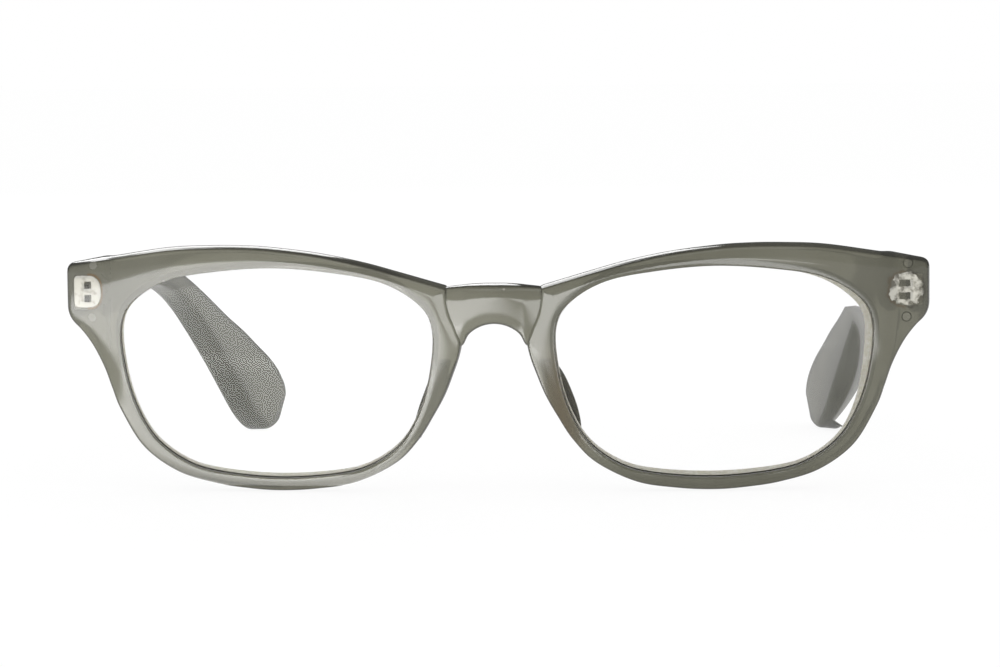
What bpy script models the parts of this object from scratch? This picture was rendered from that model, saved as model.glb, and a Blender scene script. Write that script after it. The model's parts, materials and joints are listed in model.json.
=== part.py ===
"""Reading glasses: a moulded front, two plus lenses and two temples that fold on five-barrel hinges.

X runs across the glasses, Y from the front back along the temples, and Z up. Right is +X.
The glasses stand open, on the rims and the ear ends, with the origin in the middle of their footprint.
"""

import math

import bmesh
import bpy
import numpy as np
from mathutils import Vector

# The front, measured along itself
EYE_WIDTH = 0.0501
EYE_HEIGHT = 0.0339
NOSE_GAP = 0.0189
RIM_WIDTH = 0.0030
RIM_DEPTH = 0.0040
RIM_FRONT_ROUND = 0.0007
RIM_REAR_ROUND = 0.0005
EYE_EDGE_ROUND = 0.00025
FACE_CROWN = 0.00012
FRONT_CURVE_RADIUS = 0.130
FRONT_TILT = math.radians(8)
FACE_FORM = math.radians(5)

# The end pieces, which carry the hinges
END_REACH = 0.00885
END_HEIGHT = 0.0084
END_TOP_SHARE = 0.56
END_TOP_ROUND = 0.0013
END_BOTTOM_ROUND = 0.0018
END_DEPTH = 0.0046
BUTT_RAMP_SHARES = (0.10, 0.36)
EJECTOR_RADIUS = 0.0007
EJECTOR_DEPTH = 0.0003
EJECTOR_RISE_SHARE = 0.43

# The bridge and the nose pads
BRIDGE_HEIGHT = 0.0063
BRIDGE_DEPTH = 0.0046
BRIDGE_RISE = 0.0076
BRIDGE_CORNER_ROUND = 0.0006
BRIDGE_FULLNESS = 3.2
PAD_REACH = 0.0078
PAD_THICKNESS = 0.0017
PAD_FLARE = math.radians(20)

# The lenses, of 2 dioptres
LENS_GROOVE_DEPTH = 0.0008
LENS_GROOVE_WIDTH = 0.0014
LENS_BEVEL_WIDTH = 0.0010
LENS_SEAT = 0.0020
LENS_FRONT_RADIUS = 0.109
LENS_REAR_RADIUS = 0.196
LENS_THICKNESS = 0.0029
LENS_CLEARANCE = 0.00015

# The hinges, measured from the pin
HINGE_RISE = 0.0115
HINGE_REACH_SHARE = 0.615
HINGE_STANDOFF = 0.0015
BARREL_RADIUS = 0.0011
BARREL_PITCH = 0.0009
BARREL_PLAY = 0.00008
PIN_RADIUS = 0.0006
PIN_CLEARANCE = 0.00005
SCREW_HEAD_RADIUS = 0.00095
SCREW_HEAD_HEIGHT = 0.0005
SCREW_SLOT_WIDTH = 0.0003
LEAF_THICKNESS = 0.0013
ROOT_COVER = 0.0014
ROOT_WIDTH = 0.0042
ROOT_HEIGHT = 0.0050
ROOT_PLATE = 0.0007
ROOT_ROUND = 0.0014
NECK_WIDTH = 0.0026
WINDOW_SIZE = 0.00115
TONGUE_LENGTH = 0.0090
TONGUE_HEIGHT = 0.0038
TONGUE_THICKNESS = 0.0010
TONGUE_INNER_SHARE = 0.65
SINK_CLEARANCE = 0.0001

# The temples, measured from the pin
TEMPLE_REACH = 0.1263
TEMPLE_HEIGHT = 0.0083
TEMPLE_RISE = 0.0005
TEMPLE_THICKNESS = 0.0040
TEMPLE_TIP_THICKNESS = 0.0038
TEMPLE_ROUND = 0.0011
TEMPLE_BOW = 0.0163
TEMPLE_BOW_START_SHARE = 0.36
TEMPLE_SET_IN = 0.0002
BUTT_GAP = 0.0003
TOUCH_GAP = 0.0003
CUT_OVERRUN = 0.001

# Half of the eye's edge, from its top to its bottom: shares of half its width and half its height
EYE_EDGE_SHARES = (
    (0.0, 1.0),
    (0.37, 0.957),
    (0.69, 0.857),
    (0.915, 0.646),
    (0.994, 0.40),
    (0.977, 0.02),
    (0.91, -0.343),
    (0.79, -0.654),
    (0.60, -0.864),
    (0.38, -0.958),
    (0.0, -1.0),
)

# Angle round the eye in degrees, with 0 at the temple side and 90 at the top, and share of the rim's width
BROW_SHARES = (
    (34, 2.6),
    (48, 1.74),
    (62, 1.35),
    (76, 1.10),
    (90, 0.93),
    (110, 0.82),
    (128, 0.75),
    (140, 0.78),
    (153.5, 1.70),
)
LOWER_RIM_SHARES = (
    (153.5, 1.70),
    (160, 1.19),
    (166, 1.33),
    (170.5, 1.50),
    (175, 1.42),
    (181, 1.20),
    (188, 1.00),
    (196, 0.78),
    (206, 0.66),
    (218, 0.68),
    (235, 0.76),
    (252, 0.78),
    (270, 0.79),
    (286, 0.79),
    (300, 0.80),
    (315, 0.86),
    (330, 0.94),
    (345, 0.99),
    (353, 1.05),
    (360, 1.21),
    (366.5, 1.66),
    (370.5, 2.28),
)

# The bridge's stations: distance from the middle, shares of the nose gap's half; top and bottom edge, shares
# of the bridge's height over the arch's crown
BRIDGE_SHARES = (
    (0.0, 1.0, 0.0),
    (0.16, 1.0, -0.033),
    (0.31, 0.993, -0.131),
    (0.43, 0.985, -0.28),
    (0.52, 0.975, -0.524),
    (0.62, 0.962, -0.58),
    (0.74, 0.945, -0.524),
    (0.86, 0.92, -0.328),
)

# The nose pad's stations: height in shares of half the eye's height, reach as a share of the pad's reach
PAD_SHARES = (
    (0.10, 0.12),
    (0.04, 0.45),
    (-0.06, 0.74),
    (-0.18, 0.93),
    (-0.32, 1.0),
    (-0.46, 0.95),
    (-0.58, 0.76),
    (-0.67, 0.45),
    (-0.72, 0.12),
)

# The temple's side view, one rung after another: upper y and z, then lower y and z. A y is a share of the
# reach; a z over 0 is a share of half the bar's height, and under 0 a share of the drop to the ground
TEMPLE_SHARES = (
    (0.127, 0.92, 0.127, -0.117),
    (0.233, 0.72, 0.233, -0.119),
    (0.339, 0.52, 0.328, -0.121),
    (0.423, 0.25, 0.407, -0.13),
    (0.508, -0.035, 0.478, -0.152),
    (0.588, -0.138, 0.55, -0.215),
    (0.662, -0.234, 0.619, -0.315),
    (0.726, -0.328, 0.672, -0.415),
    (0.787, -0.419, 0.728, -0.535),
    (0.847, -0.504, 0.783, -0.662),
    (0.897, -0.585, 0.836, -0.795),
    (0.942, -0.66, 0.88, -0.905),
    (0.974, -0.728, 0.915, -0.972),
    (0.992, -0.785, 0.942, -1.0),
    (1.0, -0.838, 0.967, -0.985),
    (1.0, -0.873, 0.986, -0.942),
)

LENS_CENTRE = NOSE_GAP / 2 + EYE_WIDTH / 2
END_SIDE = LENS_CENTRE + EYE_WIDTH / 2 + END_REACH
STACK_HEIGHT = 5 * BARREL_PITCH - BARREL_PLAY
BARREL_HEIGHT = BARREL_PITCH - BARREL_PLAY

SPLINE_STEPS = 2
ROUND_STEPS = 3
CIRCLE_SIDES = 20


def clear_scene():
    for old in list(bpy.data.objects):
        bpy.data.objects.remove(old, do_unlink=True)


def collection(name, hidden=False):
    made = bpy.data.collections.new(name)
    made.hide_render = hidden
    bpy.context.scene.collection.children.link(made)
    return made


def material(name, colour, roughness, metallic=0.0, transmission=0.0, ior=1.49):
    made = bpy.data.materials.new(name)
    made.use_nodes = True
    shader = made.node_tree.nodes["Principled BSDF"]
    shader.inputs["Base Color"].default_value = (*colour, 1)
    shader.inputs["Roughness"].default_value = roughness
    shader.inputs["Metallic"].default_value = metallic
    shader.inputs["Transmission Weight"].default_value = transmission
    shader.inputs["IOR"].default_value = ior
    made.diffuse_color = (*colour, 1)
    made.metallic = metallic
    made.roughness = roughness
    return made


def add_object(name, mesh, group, parent, finish=None):
    """An object whose mesh is in its parent's frame, shaded smooth but for its edges."""
    obj = bpy.data.objects.new(name, mesh)
    group.objects.link(obj)
    obj.parent = parent
    if finish:
        mesh.materials.append(finish)
    mesh.shade_smooth()
    mesh.set_sharp_from_angle(angle=math.radians(35))
    return obj


def add_cutter(name, mesh, group, parent):
    obj = add_object(name, mesh, group, parent)
    obj.hide_render = True
    obj.display_type = "WIRE"
    return obj


def add_boolean(obj, operation, group):
    modifier = obj.modifiers.new(operation.title(), "BOOLEAN")
    modifier.operation = operation
    modifier.operand_type = "COLLECTION"
    modifier.collection = group


def spline(points, steps, closed=False):
    """Points along a smooth curve through the given ones, steps to each interval."""
    known = [Vector(point) for point in points]
    last = len(known) - 1
    if closed:
        padded = [known[-1], *known, known[0], known[1]]
    else:
        padded = [2 * known[0] - known[1], *known, 2 * known[last] - known[last - 1]]
    out = []
    for before, start, end, after in zip(padded, padded[1:], padded[2:], padded[3:]):
        for step in range(steps):
            t = step / steps
            out.append(
                0.5
                * (
                    2 * start
                    + (end - before) * t
                    + (2 * before - 5 * start + 4 * end - after) * t**2
                    + (3 * start - before - 3 * end + after) * t**3
                )
            )
    return out if closed else [*out, known[last]]


def round_corner(incoming, outgoing, radius):
    """Joins two runs that meet in a corner by a round one, and returns the joined run."""
    corner = outgoing[0]
    before = [point for point in incoming if (point - corner).length > radius * 1.2]
    after = [point for point in outgoing if (point - corner).length > radius * 1.2]
    start = corner + (before[-1] - corner).normalized() * radius
    end = corner + (after[0] - corner).normalized() * radius
    arc = []
    for step in range(ROUND_STEPS + 1):
        t = step / ROUND_STEPS
        arc.append((1 - t) ** 2 * start + 2 * t * (1 - t) * corner + t**2 * end)
    return [*before, *arc, *after]


def loft(rings, looped=False):
    """A closed mesh through rings of points; a ring of one point is a pole, and an open end is capped."""
    shape = bmesh.new()
    rows = [[shape.verts.new(point) for point in ring] for ring in rings]
    pairs = list(zip(rows, rows[1:]))
    if looped:
        pairs.append((rows[-1], rows[0]))
    for first, second in pairs:
        count = max(len(first), len(second))
        for side in range(count):
            after = (side + 1) % count
            corners = []
            for row, place in ((first, side), (first, after), (second, after), (second, side)):
                vert = row[place % len(row)]
                if vert not in corners:
                    corners.append(vert)
            shape.faces.new(corners)
    if not looped:
        for row in (rows[0], rows[-1]):
            if len(row) > 1:
                shape.faces.new(row)
    return finished_mesh(shape)


def finished_mesh(shape):
    """The mesh of a closed shape, with every face pointing out."""
    bmesh.ops.recalc_face_normals(shape, faces=shape.faces)
    if shape.calc_volume(signed=True) < 0:
        bmesh.ops.reverse_faces(shape, faces=shape.faces)
    mesh = bpy.data.meshes.new("solid")
    shape.to_mesh(mesh)
    shape.free()
    return mesh


def box_mesh(low, high):
    shape = bmesh.new()
    bmesh.ops.create_cube(shape, size=1)
    low, high = Vector(low), Vector(high)
    for vert in shape.verts:
        vert.co = (low + high) / 2 + vert.co * (high - low)
    return finished_mesh(shape)


def cylinder_mesh(radius, bottom, top, centre=(0, 0)):
    shape = bmesh.new()
    bmesh.ops.create_cone(
        shape, cap_ends=True, segments=CIRCLE_SIDES, radius1=radius, radius2=radius, depth=top - bottom
    )
    bmesh.ops.translate(shape, verts=shape.verts, vec=(*centre, (top + bottom) / 2))
    return finished_mesh(shape)


def mirrored(mesh, side):
    """The mesh turned over to the left side where side is -1."""
    shape = bmesh.new()
    shape.from_mesh(mesh)
    bpy.data.meshes.remove(mesh)
    for vert in shape.verts:
        vert.co.x *= side
    return finished_mesh(shape)


def eye_edge():
    half = [(across * EYE_WIDTH / 2, rise * EYE_HEIGHT / 2) for across, rise in EYE_EDGE_SHARES]
    other_half = [(-across, rise) for across, rise in half[-2:0:-1]]
    return spline(half + other_half, 12, closed=True)


EYE_EDGE = eye_edge()
EYE_ANGLES = [math.atan2(point.y, point.x) for point in EYE_EDGE]


def eye_radius(angle):
    """How far the eye's edge is from the lens centre in one direction."""
    radii = [point.length for point in EYE_EDGE]
    return float(np.interp(angle, EYE_ANGLES[::-1], radii[::-1], period=2 * math.pi))


def eye_point(angle, outward=0.0):
    radius = eye_radius(angle) + outward
    return Vector((math.cos(angle), math.sin(angle))) * radius


def eye_normal(angle):
    turn = math.radians(2)
    along = eye_point(angle + turn) - eye_point(angle - turn)
    return Vector((along.y, -along.x)).normalized()


def rim_edge(steps=SPLINE_STEPS):
    """The rim's outer edge round one eye, from the lens centre, through brow, nose, bottom and end piece."""
    reach = EYE_WIDTH / 2 + END_REACH
    end_top = Vector((reach, HINGE_RISE + END_HEIGHT * END_TOP_SHARE))
    end_bottom = Vector((reach, end_top.y - END_HEIGHT))
    brow = [eye_point(math.radians(angle), share * RIM_WIDTH) for angle, share in BROW_SHARES]
    lower = [eye_point(math.radians(angle), share * RIM_WIDTH) for angle, share in LOWER_RIM_SHARES]
    brow_run = spline([end_top, *brow], steps)
    lower_run = spline([*lower, end_bottom], steps)
    joined = round_corner(brow_run, lower_run, BRIDGE_CORNER_ROUND)
    joined = round_corner(joined, [end_bottom, end_top], END_BOTTOM_ROUND)
    corner_first = [joined[-1], *joined[1:-1]]
    return round_corner([end_bottom, end_top], [end_top, *corner_first[1:]], END_TOP_ROUND)[1:]


def edge_normals(points):
    """Outward normals of a loop that runs counterclockwise."""
    normals = []
    for before, after in zip([points[-1], *points[:-1]], [*points[1:], points[0]]):
        along = after - before
        normals.append(Vector((along.y, -along.x)).normalized())
    return normals


def sheet_depth(across, rise):
    """How far the front's curved face lies behind the lens plane, at a place measured along the front."""
    across = abs(across)
    nose_side = NOSE_GAP / 2
    near = max(across, nose_side) - LENS_CENTRE
    depth = math.tan(FACE_FORM) * near + (near**2 + rise**2) / (2 * FRONT_CURVE_RADIUS)
    if across < nose_side:
        slope = math.tan(FACE_FORM) + near / FRONT_CURVE_RADIUS
        depth -= slope * (nose_side**2 - across**2) / (2 * nose_side)
    return depth


def place(across, rise, depth):
    """A point of the tilted front in the glasses' frame: depth runs back, square to the lens plane."""
    back = depth * math.cos(FRONT_TILT) - rise * math.sin(FRONT_TILT)
    up = rise * math.cos(FRONT_TILT) + depth * math.sin(FRONT_TILT)
    return Vector((across, back, up))


HINGE_ACROSS = LENS_CENTRE + EYE_WIDTH / 2 + END_REACH * HINGE_REACH_SHARE
END_FACE = place(HINGE_ACROSS, HINGE_RISE, sheet_depth(HINGE_ACROSS, HINGE_RISE))
BUTT_PLANE = END_FACE.y + END_DEPTH
HINGE_PIN = Vector((HINGE_ACROSS, BUTT_PLANE + HINGE_STANDOFF, END_FACE.z + END_DEPTH / 2 * math.sin(FRONT_TILT)))


def rear_depth(across, rise):
    """How far the front's rear face lies behind the lens plane: it turns flat where the temple butts."""
    plain = sheet_depth(across, rise) + RIM_DEPTH
    butt = (BUTT_PLANE + rise * math.sin(FRONT_TILT)) / math.cos(FRONT_TILT)
    start, end = (LENS_CENTRE + EYE_WIDTH / 2 + END_REACH * share for share in BUTT_RAMP_SHARES)
    ramp = min(max((abs(across) - start) / (end - start), 0), 1)
    return plain + (butt - plain) * ramp**2 * (3 - 2 * ramp)


def rim_section(outer, outer_normal, inner, inner_normal):
    """One section through the rim, from the outer wall over the front face to the lens groove and back."""
    front, rear, bevel = RIM_FRONT_ROUND, RIM_REAR_ROUND, 1 - math.sqrt(0.5)
    seat, half_groove, lip = LENS_SEAT, LENS_GROOVE_WIDTH / 2, EYE_EDGE_ROUND
    outer_front = [(0, front), (front * bevel, front * bevel), (front, 0)]
    inner_front = [(lip, 0), (0, lip), (0, seat - half_groove), (LENS_GROOVE_DEPTH, seat), (0, seat + half_groove)]
    inner_rear = [(0, lip), (lip, 0)]
    outer_rear = [(rear, 0), (rear * bevel, rear * bevel), (0, rear)]
    section = []

    def add(point, depth, from_rear=False):
        across = LENS_CENTRE + point.x
        face = rear_depth(across, point.y) if from_rear else sheet_depth(across, point.y)
        section.append(place(across, point.y, face - depth if from_rear else face + depth))

    for inset, depth in outer_front:
        add(outer - outer_normal * inset, depth)
    add((outer + inner) / 2, -FACE_CROWN)
    for inset, depth in inner_front:
        add(inner + inner_normal * inset, depth)
    for inset, depth in inner_rear:
        add(inner + inner_normal * inset, depth, from_rear=True)
    for share in (1 / 3, 2 / 3):
        add(inner.lerp(outer, share), 0, from_rear=True)
    for inset, depth in outer_rear:
        add(outer - outer_normal * inset, depth, from_rear=True)
    return section


def rim_mesh(side):
    edge = rim_edge()
    rings = []
    for outer, outer_normal in zip(edge, edge_normals(edge)):
        angle = math.atan2(outer.y, outer.x)
        rings.append(rim_section(outer, outer_normal, eye_point(angle), eye_normal(angle)))
    return mirrored(loft(rings, looped=True), side)


def pillow_section(across, bottom, top, front, rear, fullness, sides):
    """A rounded rectangle in the plane that runs up and back, as a superellipse."""
    section = []
    for step in range(sides):
        turn = 2 * math.pi * step / sides
        up, back = math.cos(turn), math.sin(turn)
        up = math.copysign(abs(up) ** (2 / fullness), up)
        back = math.copysign(abs(back) ** (2 / fullness), back)
        rise = (top + bottom) / 2 + up * (top - bottom) / 2
        depth = (front + rear) / 2 + back * (rear - front) / 2
        section.append(place(across, rise, depth))
    return section


def bridge_mesh():
    """The saddle bridge, a rounded bar that runs into both rims."""
    right = [(across, top, bottom) for across, top, bottom in BRIDGE_SHARES]
    left = [(-across, top, bottom) for across, top, bottom in right[:0:-1]]
    rings = []
    for across_share, top_share, bottom_share in left + right:
        across = across_share * NOSE_GAP / 2
        top = BRIDGE_RISE + top_share * BRIDGE_HEIGHT
        bottom = BRIDGE_RISE + bottom_share * BRIDGE_HEIGHT
        front = sheet_depth(across, (top + bottom) / 2) - FACE_CROWN
        middle = 1 - (across_share / BRIDGE_SHARES[-1][0]) ** 2
        front -= middle * RIM_FRONT_ROUND / 2
        front += (1 - middle) * RIM_FRONT_ROUND
        rear = sheet_depth(across, (top + bottom) / 2) + BRIDGE_DEPTH * (1 - 0.2 * (1 - middle))
        rings.append(pillow_section(across, bottom, top, front, rear, BRIDGE_FULLNESS, 16))
    return loft(rings)


def nose_pad_mesh(side):
    """A fixed pad: a fin that flares back from the rim's nose side."""
    rings = []
    for rise_share, reach_share in PAD_SHARES:
        rise = rise_share * EYE_HEIGHT / 2
        angle = math.pi - math.asin(rise / (EYE_WIDTH / 2))
        inner = eye_point(angle)
        nose_edge = LENS_CENTRE + inner.x - RIM_WIDTH * 0.78
        base_depth = rear_depth(nose_edge, inner.y) - RIM_DEPTH * 0.3
        reach = PAD_REACH * reach_share + RIM_DEPTH * 0.3
        base = Vector((nose_edge, base_depth))
        along = Vector((math.sin(PAD_FLARE), math.cos(PAD_FLARE)))
        across = Vector((along.y, -along.x))
        ring = []
        for step in range(12):
            turn = 2 * math.pi * step / 12
            out = (1 - math.cos(turn)) / 2
            out = out ** 0.8
            width = PAD_THICKNESS / 2 * math.sin(turn) * (1 - 0.25 * out)
            spot = base + along * reach * out + across * width
            ring.append(place(spot.x, inner.y, spot.y))
        rings.append(ring)
    return mirrored(loft(rings), side)


def ejector_mesh(side, up):
    rise = up * EJECTOR_RISE_SHARE * END_HEIGHT
    shape = bmesh.new()
    bmesh.ops.create_cone(
        shape,
        cap_ends=True,
        segments=CIRCLE_SIDES // 2,
        radius1=EJECTOR_RADIUS,
        radius2=EJECTOR_RADIUS,
        depth=2 * EJECTOR_DEPTH,
    )
    for vert in shape.verts:
        vert.co = Vector((vert.co.x, vert.co.z, vert.co.y))
        vert.co += Vector((HINGE_PIN.x, BUTT_PLANE, HINGE_PIN.z + TEMPLE_RISE + rise))
    return mirrored(finished_mesh(shape), side)


def rounded_plate(low, high, front, back, round_low, round_high):
    """A plate that lies across Y, with its upright edges rounded by one radius on its -X side and one on +X."""
    outline = []
    corners = (
        (low[0], low[1], round_low, 180),
        (high[0], low[1], round_high, 270),
        (high[0], high[1], round_high, 0),
        (low[0], high[1], round_low, 90),
    )
    for x, z, radius, start in corners:
        centre_x = x + (radius if x == low[0] else -radius)
        centre_z = z + (radius if z == low[1] else -radius)
        for step in range(ROUND_STEPS + 1):
            turn = math.radians(start + 90 * step / ROUND_STEPS)
            outline.append((centre_x + radius * math.cos(turn), centre_z + radius * math.sin(turn)))
    return loft([[Vector((x, y, z)) for x, z in outline] for y in (front, back)])


ROOT_FRONT = END_FACE.y + ROOT_COVER - HINGE_PIN.y
NECK_BACK = -BARREL_RADIUS - TOUCH_GAP


def root_meshes(grow=0.0):
    """The sunk root of the front leaf, from the pin: the plate behind the front face and its neck."""
    half_width, half_height = ROOT_WIDTH / 2 + grow, ROOT_HEIGHT / 2 + grow
    plate_back = ROOT_FRONT + ROOT_PLATE + grow
    plate = rounded_plate(
        (-half_width, -half_height),
        (half_width, half_height),
        ROOT_FRONT - grow,
        plate_back,
        ROOT_ROUND,
        ROOT_ROUND / 4,
    )
    neck_back = CUT_OVERRUN if grow else NECK_BACK
    neck = box_mesh(
        (-NECK_WIDTH / 2 - grow, ROOT_FRONT + ROOT_PLATE / 2, -STACK_HEIGHT / 2 - grow),
        (NECK_WIDTH / 2 + grow, neck_back, STACK_HEIGHT / 2 + grow),
    )
    return plate, neck


def barrel_rises(leaf):
    """The middle heights of one leaf's barrels: the front leaf has three, and the temple leaf the two between."""
    places = (-2, 0, 2) if leaf == "front" else (-1, 1)
    return [place * BARREL_PITCH for place in places]


def barrel_meshes(leaf):
    """A leaf's barrels, with the webs that join them to its root."""
    meshes = []
    for rise in barrel_rises(leaf):
        low, high = rise - BARREL_HEIGHT / 2, rise + BARREL_HEIGHT / 2
        meshes.append(cylinder_mesh(BARREL_RADIUS, low, high))
        half = LEAF_THICKNESS / 2
        if leaf == "front":
            meshes.append(box_mesh((-half, NECK_BACK - ROOT_PLATE, low), (half, -PIN_RADIUS, high)))
        else:
            inner, outer = tongue_sides()
            meshes.append(box_mesh((inner, PIN_RADIUS, low), (outer, TONGUE_START + TOUCH_GAP, high)))
    return meshes


TONGUE_START = BARREL_RADIUS + TOUCH_GAP


def tongue_sides():
    """The tongue's inner and outer side, from the pin."""
    inner = -TONGUE_THICKNESS * TONGUE_INNER_SHARE
    return inner, inner + TONGUE_THICKNESS


def tongue_mesh(grow=0.0):
    """The temple leaf's root, sunk in the temple's inner face."""
    inner, outer = tongue_sides()
    low = (inner - grow, TONGUE_START - grow, -TONGUE_HEIGHT / 2 - grow)
    high = (outer + grow, TONGUE_START + TONGUE_LENGTH + grow, TONGUE_HEIGHT / 2 + grow)
    return box_mesh(low, high)


def build_leaf(name, leaf, side, parts, cutters, pin, finish):
    """One hinge leaf: its root is joined with its barrels, and the pin's bore and the windows are cut."""
    joined = bpy.data.collections.new(name + "_joined")
    cuts = bpy.data.collections.new(name + "_cuts")
    cutters.children.link(joined)
    cutters.children.link(cuts)
    if leaf == "front":
        plate, neck = root_meshes()
        body, extras = plate, [neck, *barrel_meshes(leaf)]
        for number, rise in enumerate(barrel_rises("temple")):
            half = WINDOW_SIZE / 2
            window = box_mesh(
                (-half, ROOT_FRONT - CUT_OVERRUN, rise - half), (half, NECK_BACK + CUT_OVERRUN, rise + half)
            )
            add_cutter(f"{name}_window_{number}", mirrored(window, side), cuts, pin)
    else:
        body, extras = tongue_mesh(), barrel_meshes(leaf)
    bore_radius = PIN_RADIUS + PIN_CLEARANCE
    bore = cylinder_mesh(bore_radius, -STACK_HEIGHT / 2 - CUT_OVERRUN, STACK_HEIGHT / 2 + CUT_OVERRUN)
    add_cutter(f"{name}_bore", bore, cuts, pin)
    for number, mesh in enumerate(extras):
        add_cutter(f"{name}_piece_{number}", mirrored(mesh, side), joined, pin)
    obj = add_object(name, mirrored(body, side), parts, pin, finish)
    add_boolean(obj, "UNION", joined)
    add_boolean(obj, "DIFFERENCE", cuts)
    return obj


def build_screw(name, parts, cutters, pin, finish):
    """The slotted screw: a pin turned with its head, which sits on the top barrel."""
    top = STACK_HEIGHT / 2 + BARREL_PLAY
    profile = (
        (0, top + SCREW_HEAD_HEIGHT),
        (SCREW_HEAD_RADIUS * 0.8, top + SCREW_HEAD_HEIGHT),
        (SCREW_HEAD_RADIUS, top + SCREW_HEAD_HEIGHT * 0.6),
        (SCREW_HEAD_RADIUS, top),
        (PIN_RADIUS, top),
        (PIN_RADIUS, -STACK_HEIGHT / 2),
        (0, -STACK_HEIGHT / 2),
    )
    rings = []
    for radius, height in profile:
        if not radius:
            rings.append([Vector((0, 0, height))])
            continue
        turns = [2 * math.pi * step / CIRCLE_SIDES for step in range(CIRCLE_SIDES)]
        rings.append([Vector((radius * math.cos(turn), radius * math.sin(turn), height)) for turn in turns])
    obj = add_object(name, loft(rings), parts, pin, finish)
    half = SCREW_SLOT_WIDTH / 2
    slot = box_mesh(
        (-SCREW_HEAD_RADIUS - CUT_OVERRUN, -half, top + SCREW_HEAD_HEIGHT / 2),
        (SCREW_HEAD_RADIUS + CUT_OVERRUN, half, top + SCREW_HEAD_HEIGHT + CUT_OVERRUN),
    )
    cuts = bpy.data.collections.new(name + "_cuts")
    cutters.children.link(cuts)
    add_cutter(f"{name}_slot", slot, cuts, pin)
    add_boolean(obj, "DIFFERENCE", cuts)
    return obj


def lens_mesh(side):
    """A meniscus lens with a V edge, whose outline is the eye's edge."""
    edge = rim_edge()
    angles = [math.atan2(point.y, point.x) for point in edge]
    front_apex = LENS_SEAT - LENS_THICKNESS * 0.45

    def surface(point, radius, apex):
        slope = math.tan(FACE_FORM) * point.x
        sag = radius - math.sqrt(radius**2 - point.length_squared)
        return slope + sag + apex

    def ring(share, radius, apex, outward=0.0):
        points = []
        for angle in angles:
            flat = eye_point(angle) * share + eye_normal(angle) * outward
            points.append(place(LENS_CENTRE + flat.x, flat.y, surface(flat, radius, apex)))
        return points

    def bevel_ring(outward, depth):
        points = []
        for angle in angles:
            flat = eye_point(angle) + eye_normal(angle) * outward
            across = LENS_CENTRE + flat.x
            points.append(place(across, flat.y, sheet_depth(across, flat.y) + LENS_SEAT + depth))
        return points

    rear_apex = front_apex + LENS_THICKNESS
    trim = -LENS_CLEARANCE
    half_bevel = LENS_BEVEL_WIDTH / 2
    rings = [
        [place(LENS_CENTRE, 0, front_apex)],
        ring(0.5, LENS_FRONT_RADIUS, front_apex),
        ring(1, LENS_FRONT_RADIUS, front_apex, trim),
        bevel_ring(trim, -half_bevel),
        bevel_ring(LENS_GROOVE_DEPTH - LENS_CLEARANCE, 0),
        bevel_ring(trim, half_bevel),
        ring(1, LENS_REAR_RADIUS, rear_apex, trim),
        ring(0.5, LENS_REAR_RADIUS, rear_apex),
        [place(LENS_CENTRE, 0, rear_apex)],
    ]
    return mirrored(loft(rings), side)


def rim_lowest():
    lows = []
    for point in rim_edge():
        across = LENS_CENTRE + point.x
        lows.append(place(across, point.y, sheet_depth(across, point.y) + RIM_FRONT_ROUND).z)
    return min(lows)


def temple_middle(back):
    """Where the temple's middle lies across, from the pin, at a distance behind the pin."""
    share = back / TEMPLE_REACH
    bend = TEMPLE_BOW_START_SHARE * share + (1 - TEMPLE_BOW_START_SHARE) * share**2
    outer_face = END_SIDE - TEMPLE_SET_IN - HINGE_PIN.x
    return outer_face - TEMPLE_THICKNESS / 2 - TEMPLE_BOW * bend


def temple_rungs():
    """Upper and lower edge of the temple's side view, as pairs of (y, z) from the pin."""
    start = BUTT_GAP - HINGE_STANDOFF
    half = TEMPLE_HEIGHT / 2
    drop = HINGE_PIN.z - rim_lowest()
    rungs = [((start, TEMPLE_RISE + half), (start, TEMPLE_RISE - half))]
    for upper_y, upper_z, lower_y, lower_z in TEMPLE_SHARES:
        upper_rise = TEMPLE_RISE + upper_z * half if upper_z >= 0 else upper_z * drop
        rungs.append(((upper_y * TEMPLE_REACH, upper_rise), (lower_y * TEMPLE_REACH, lower_z * drop)))
    return rungs


def temple_mesh(side):
    rungs = temple_rungs()
    uppers = spline([upper for upper, lower in rungs], SPLINE_STEPS)
    lowers = spline([lower for upper, lower in rungs], SPLINE_STEPS)
    rings = []
    for upper, lower in zip(uppers, lowers):
        middle, half_height = (upper + lower) / 2, (upper - lower) / 2
        reach_share = max(middle.x / TEMPLE_REACH, 0)
        thickness = TEMPLE_THICKNESS + (TEMPLE_TIP_THICKNESS - TEMPLE_THICKNESS) * reach_share
        half_thickness = thickness / 2
        radius = min(TEMPLE_ROUND, half_height.length * 0.9, half_thickness * 0.9)
        up = half_height.normalized()
        ring = []
        for corner_x, corner_up, start in ((1, 1, 0), (-1, 1, 90), (-1, -1, 180), (1, -1, 270)):
            for step in range(ROUND_STEPS):
                turn = math.radians(start + 90 * step / (ROUND_STEPS - 1))
                x = corner_x * (half_thickness - radius) + radius * math.cos(turn)
                along = corner_up * (half_height.length - radius) + radius * math.sin(turn)
                spot = middle + up * along
                ring.append(Vector((temple_middle(spot.x) + x, spot.x, spot.y)))
        rings.append(ring)
    return mirrored(loft(rings), side)


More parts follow.
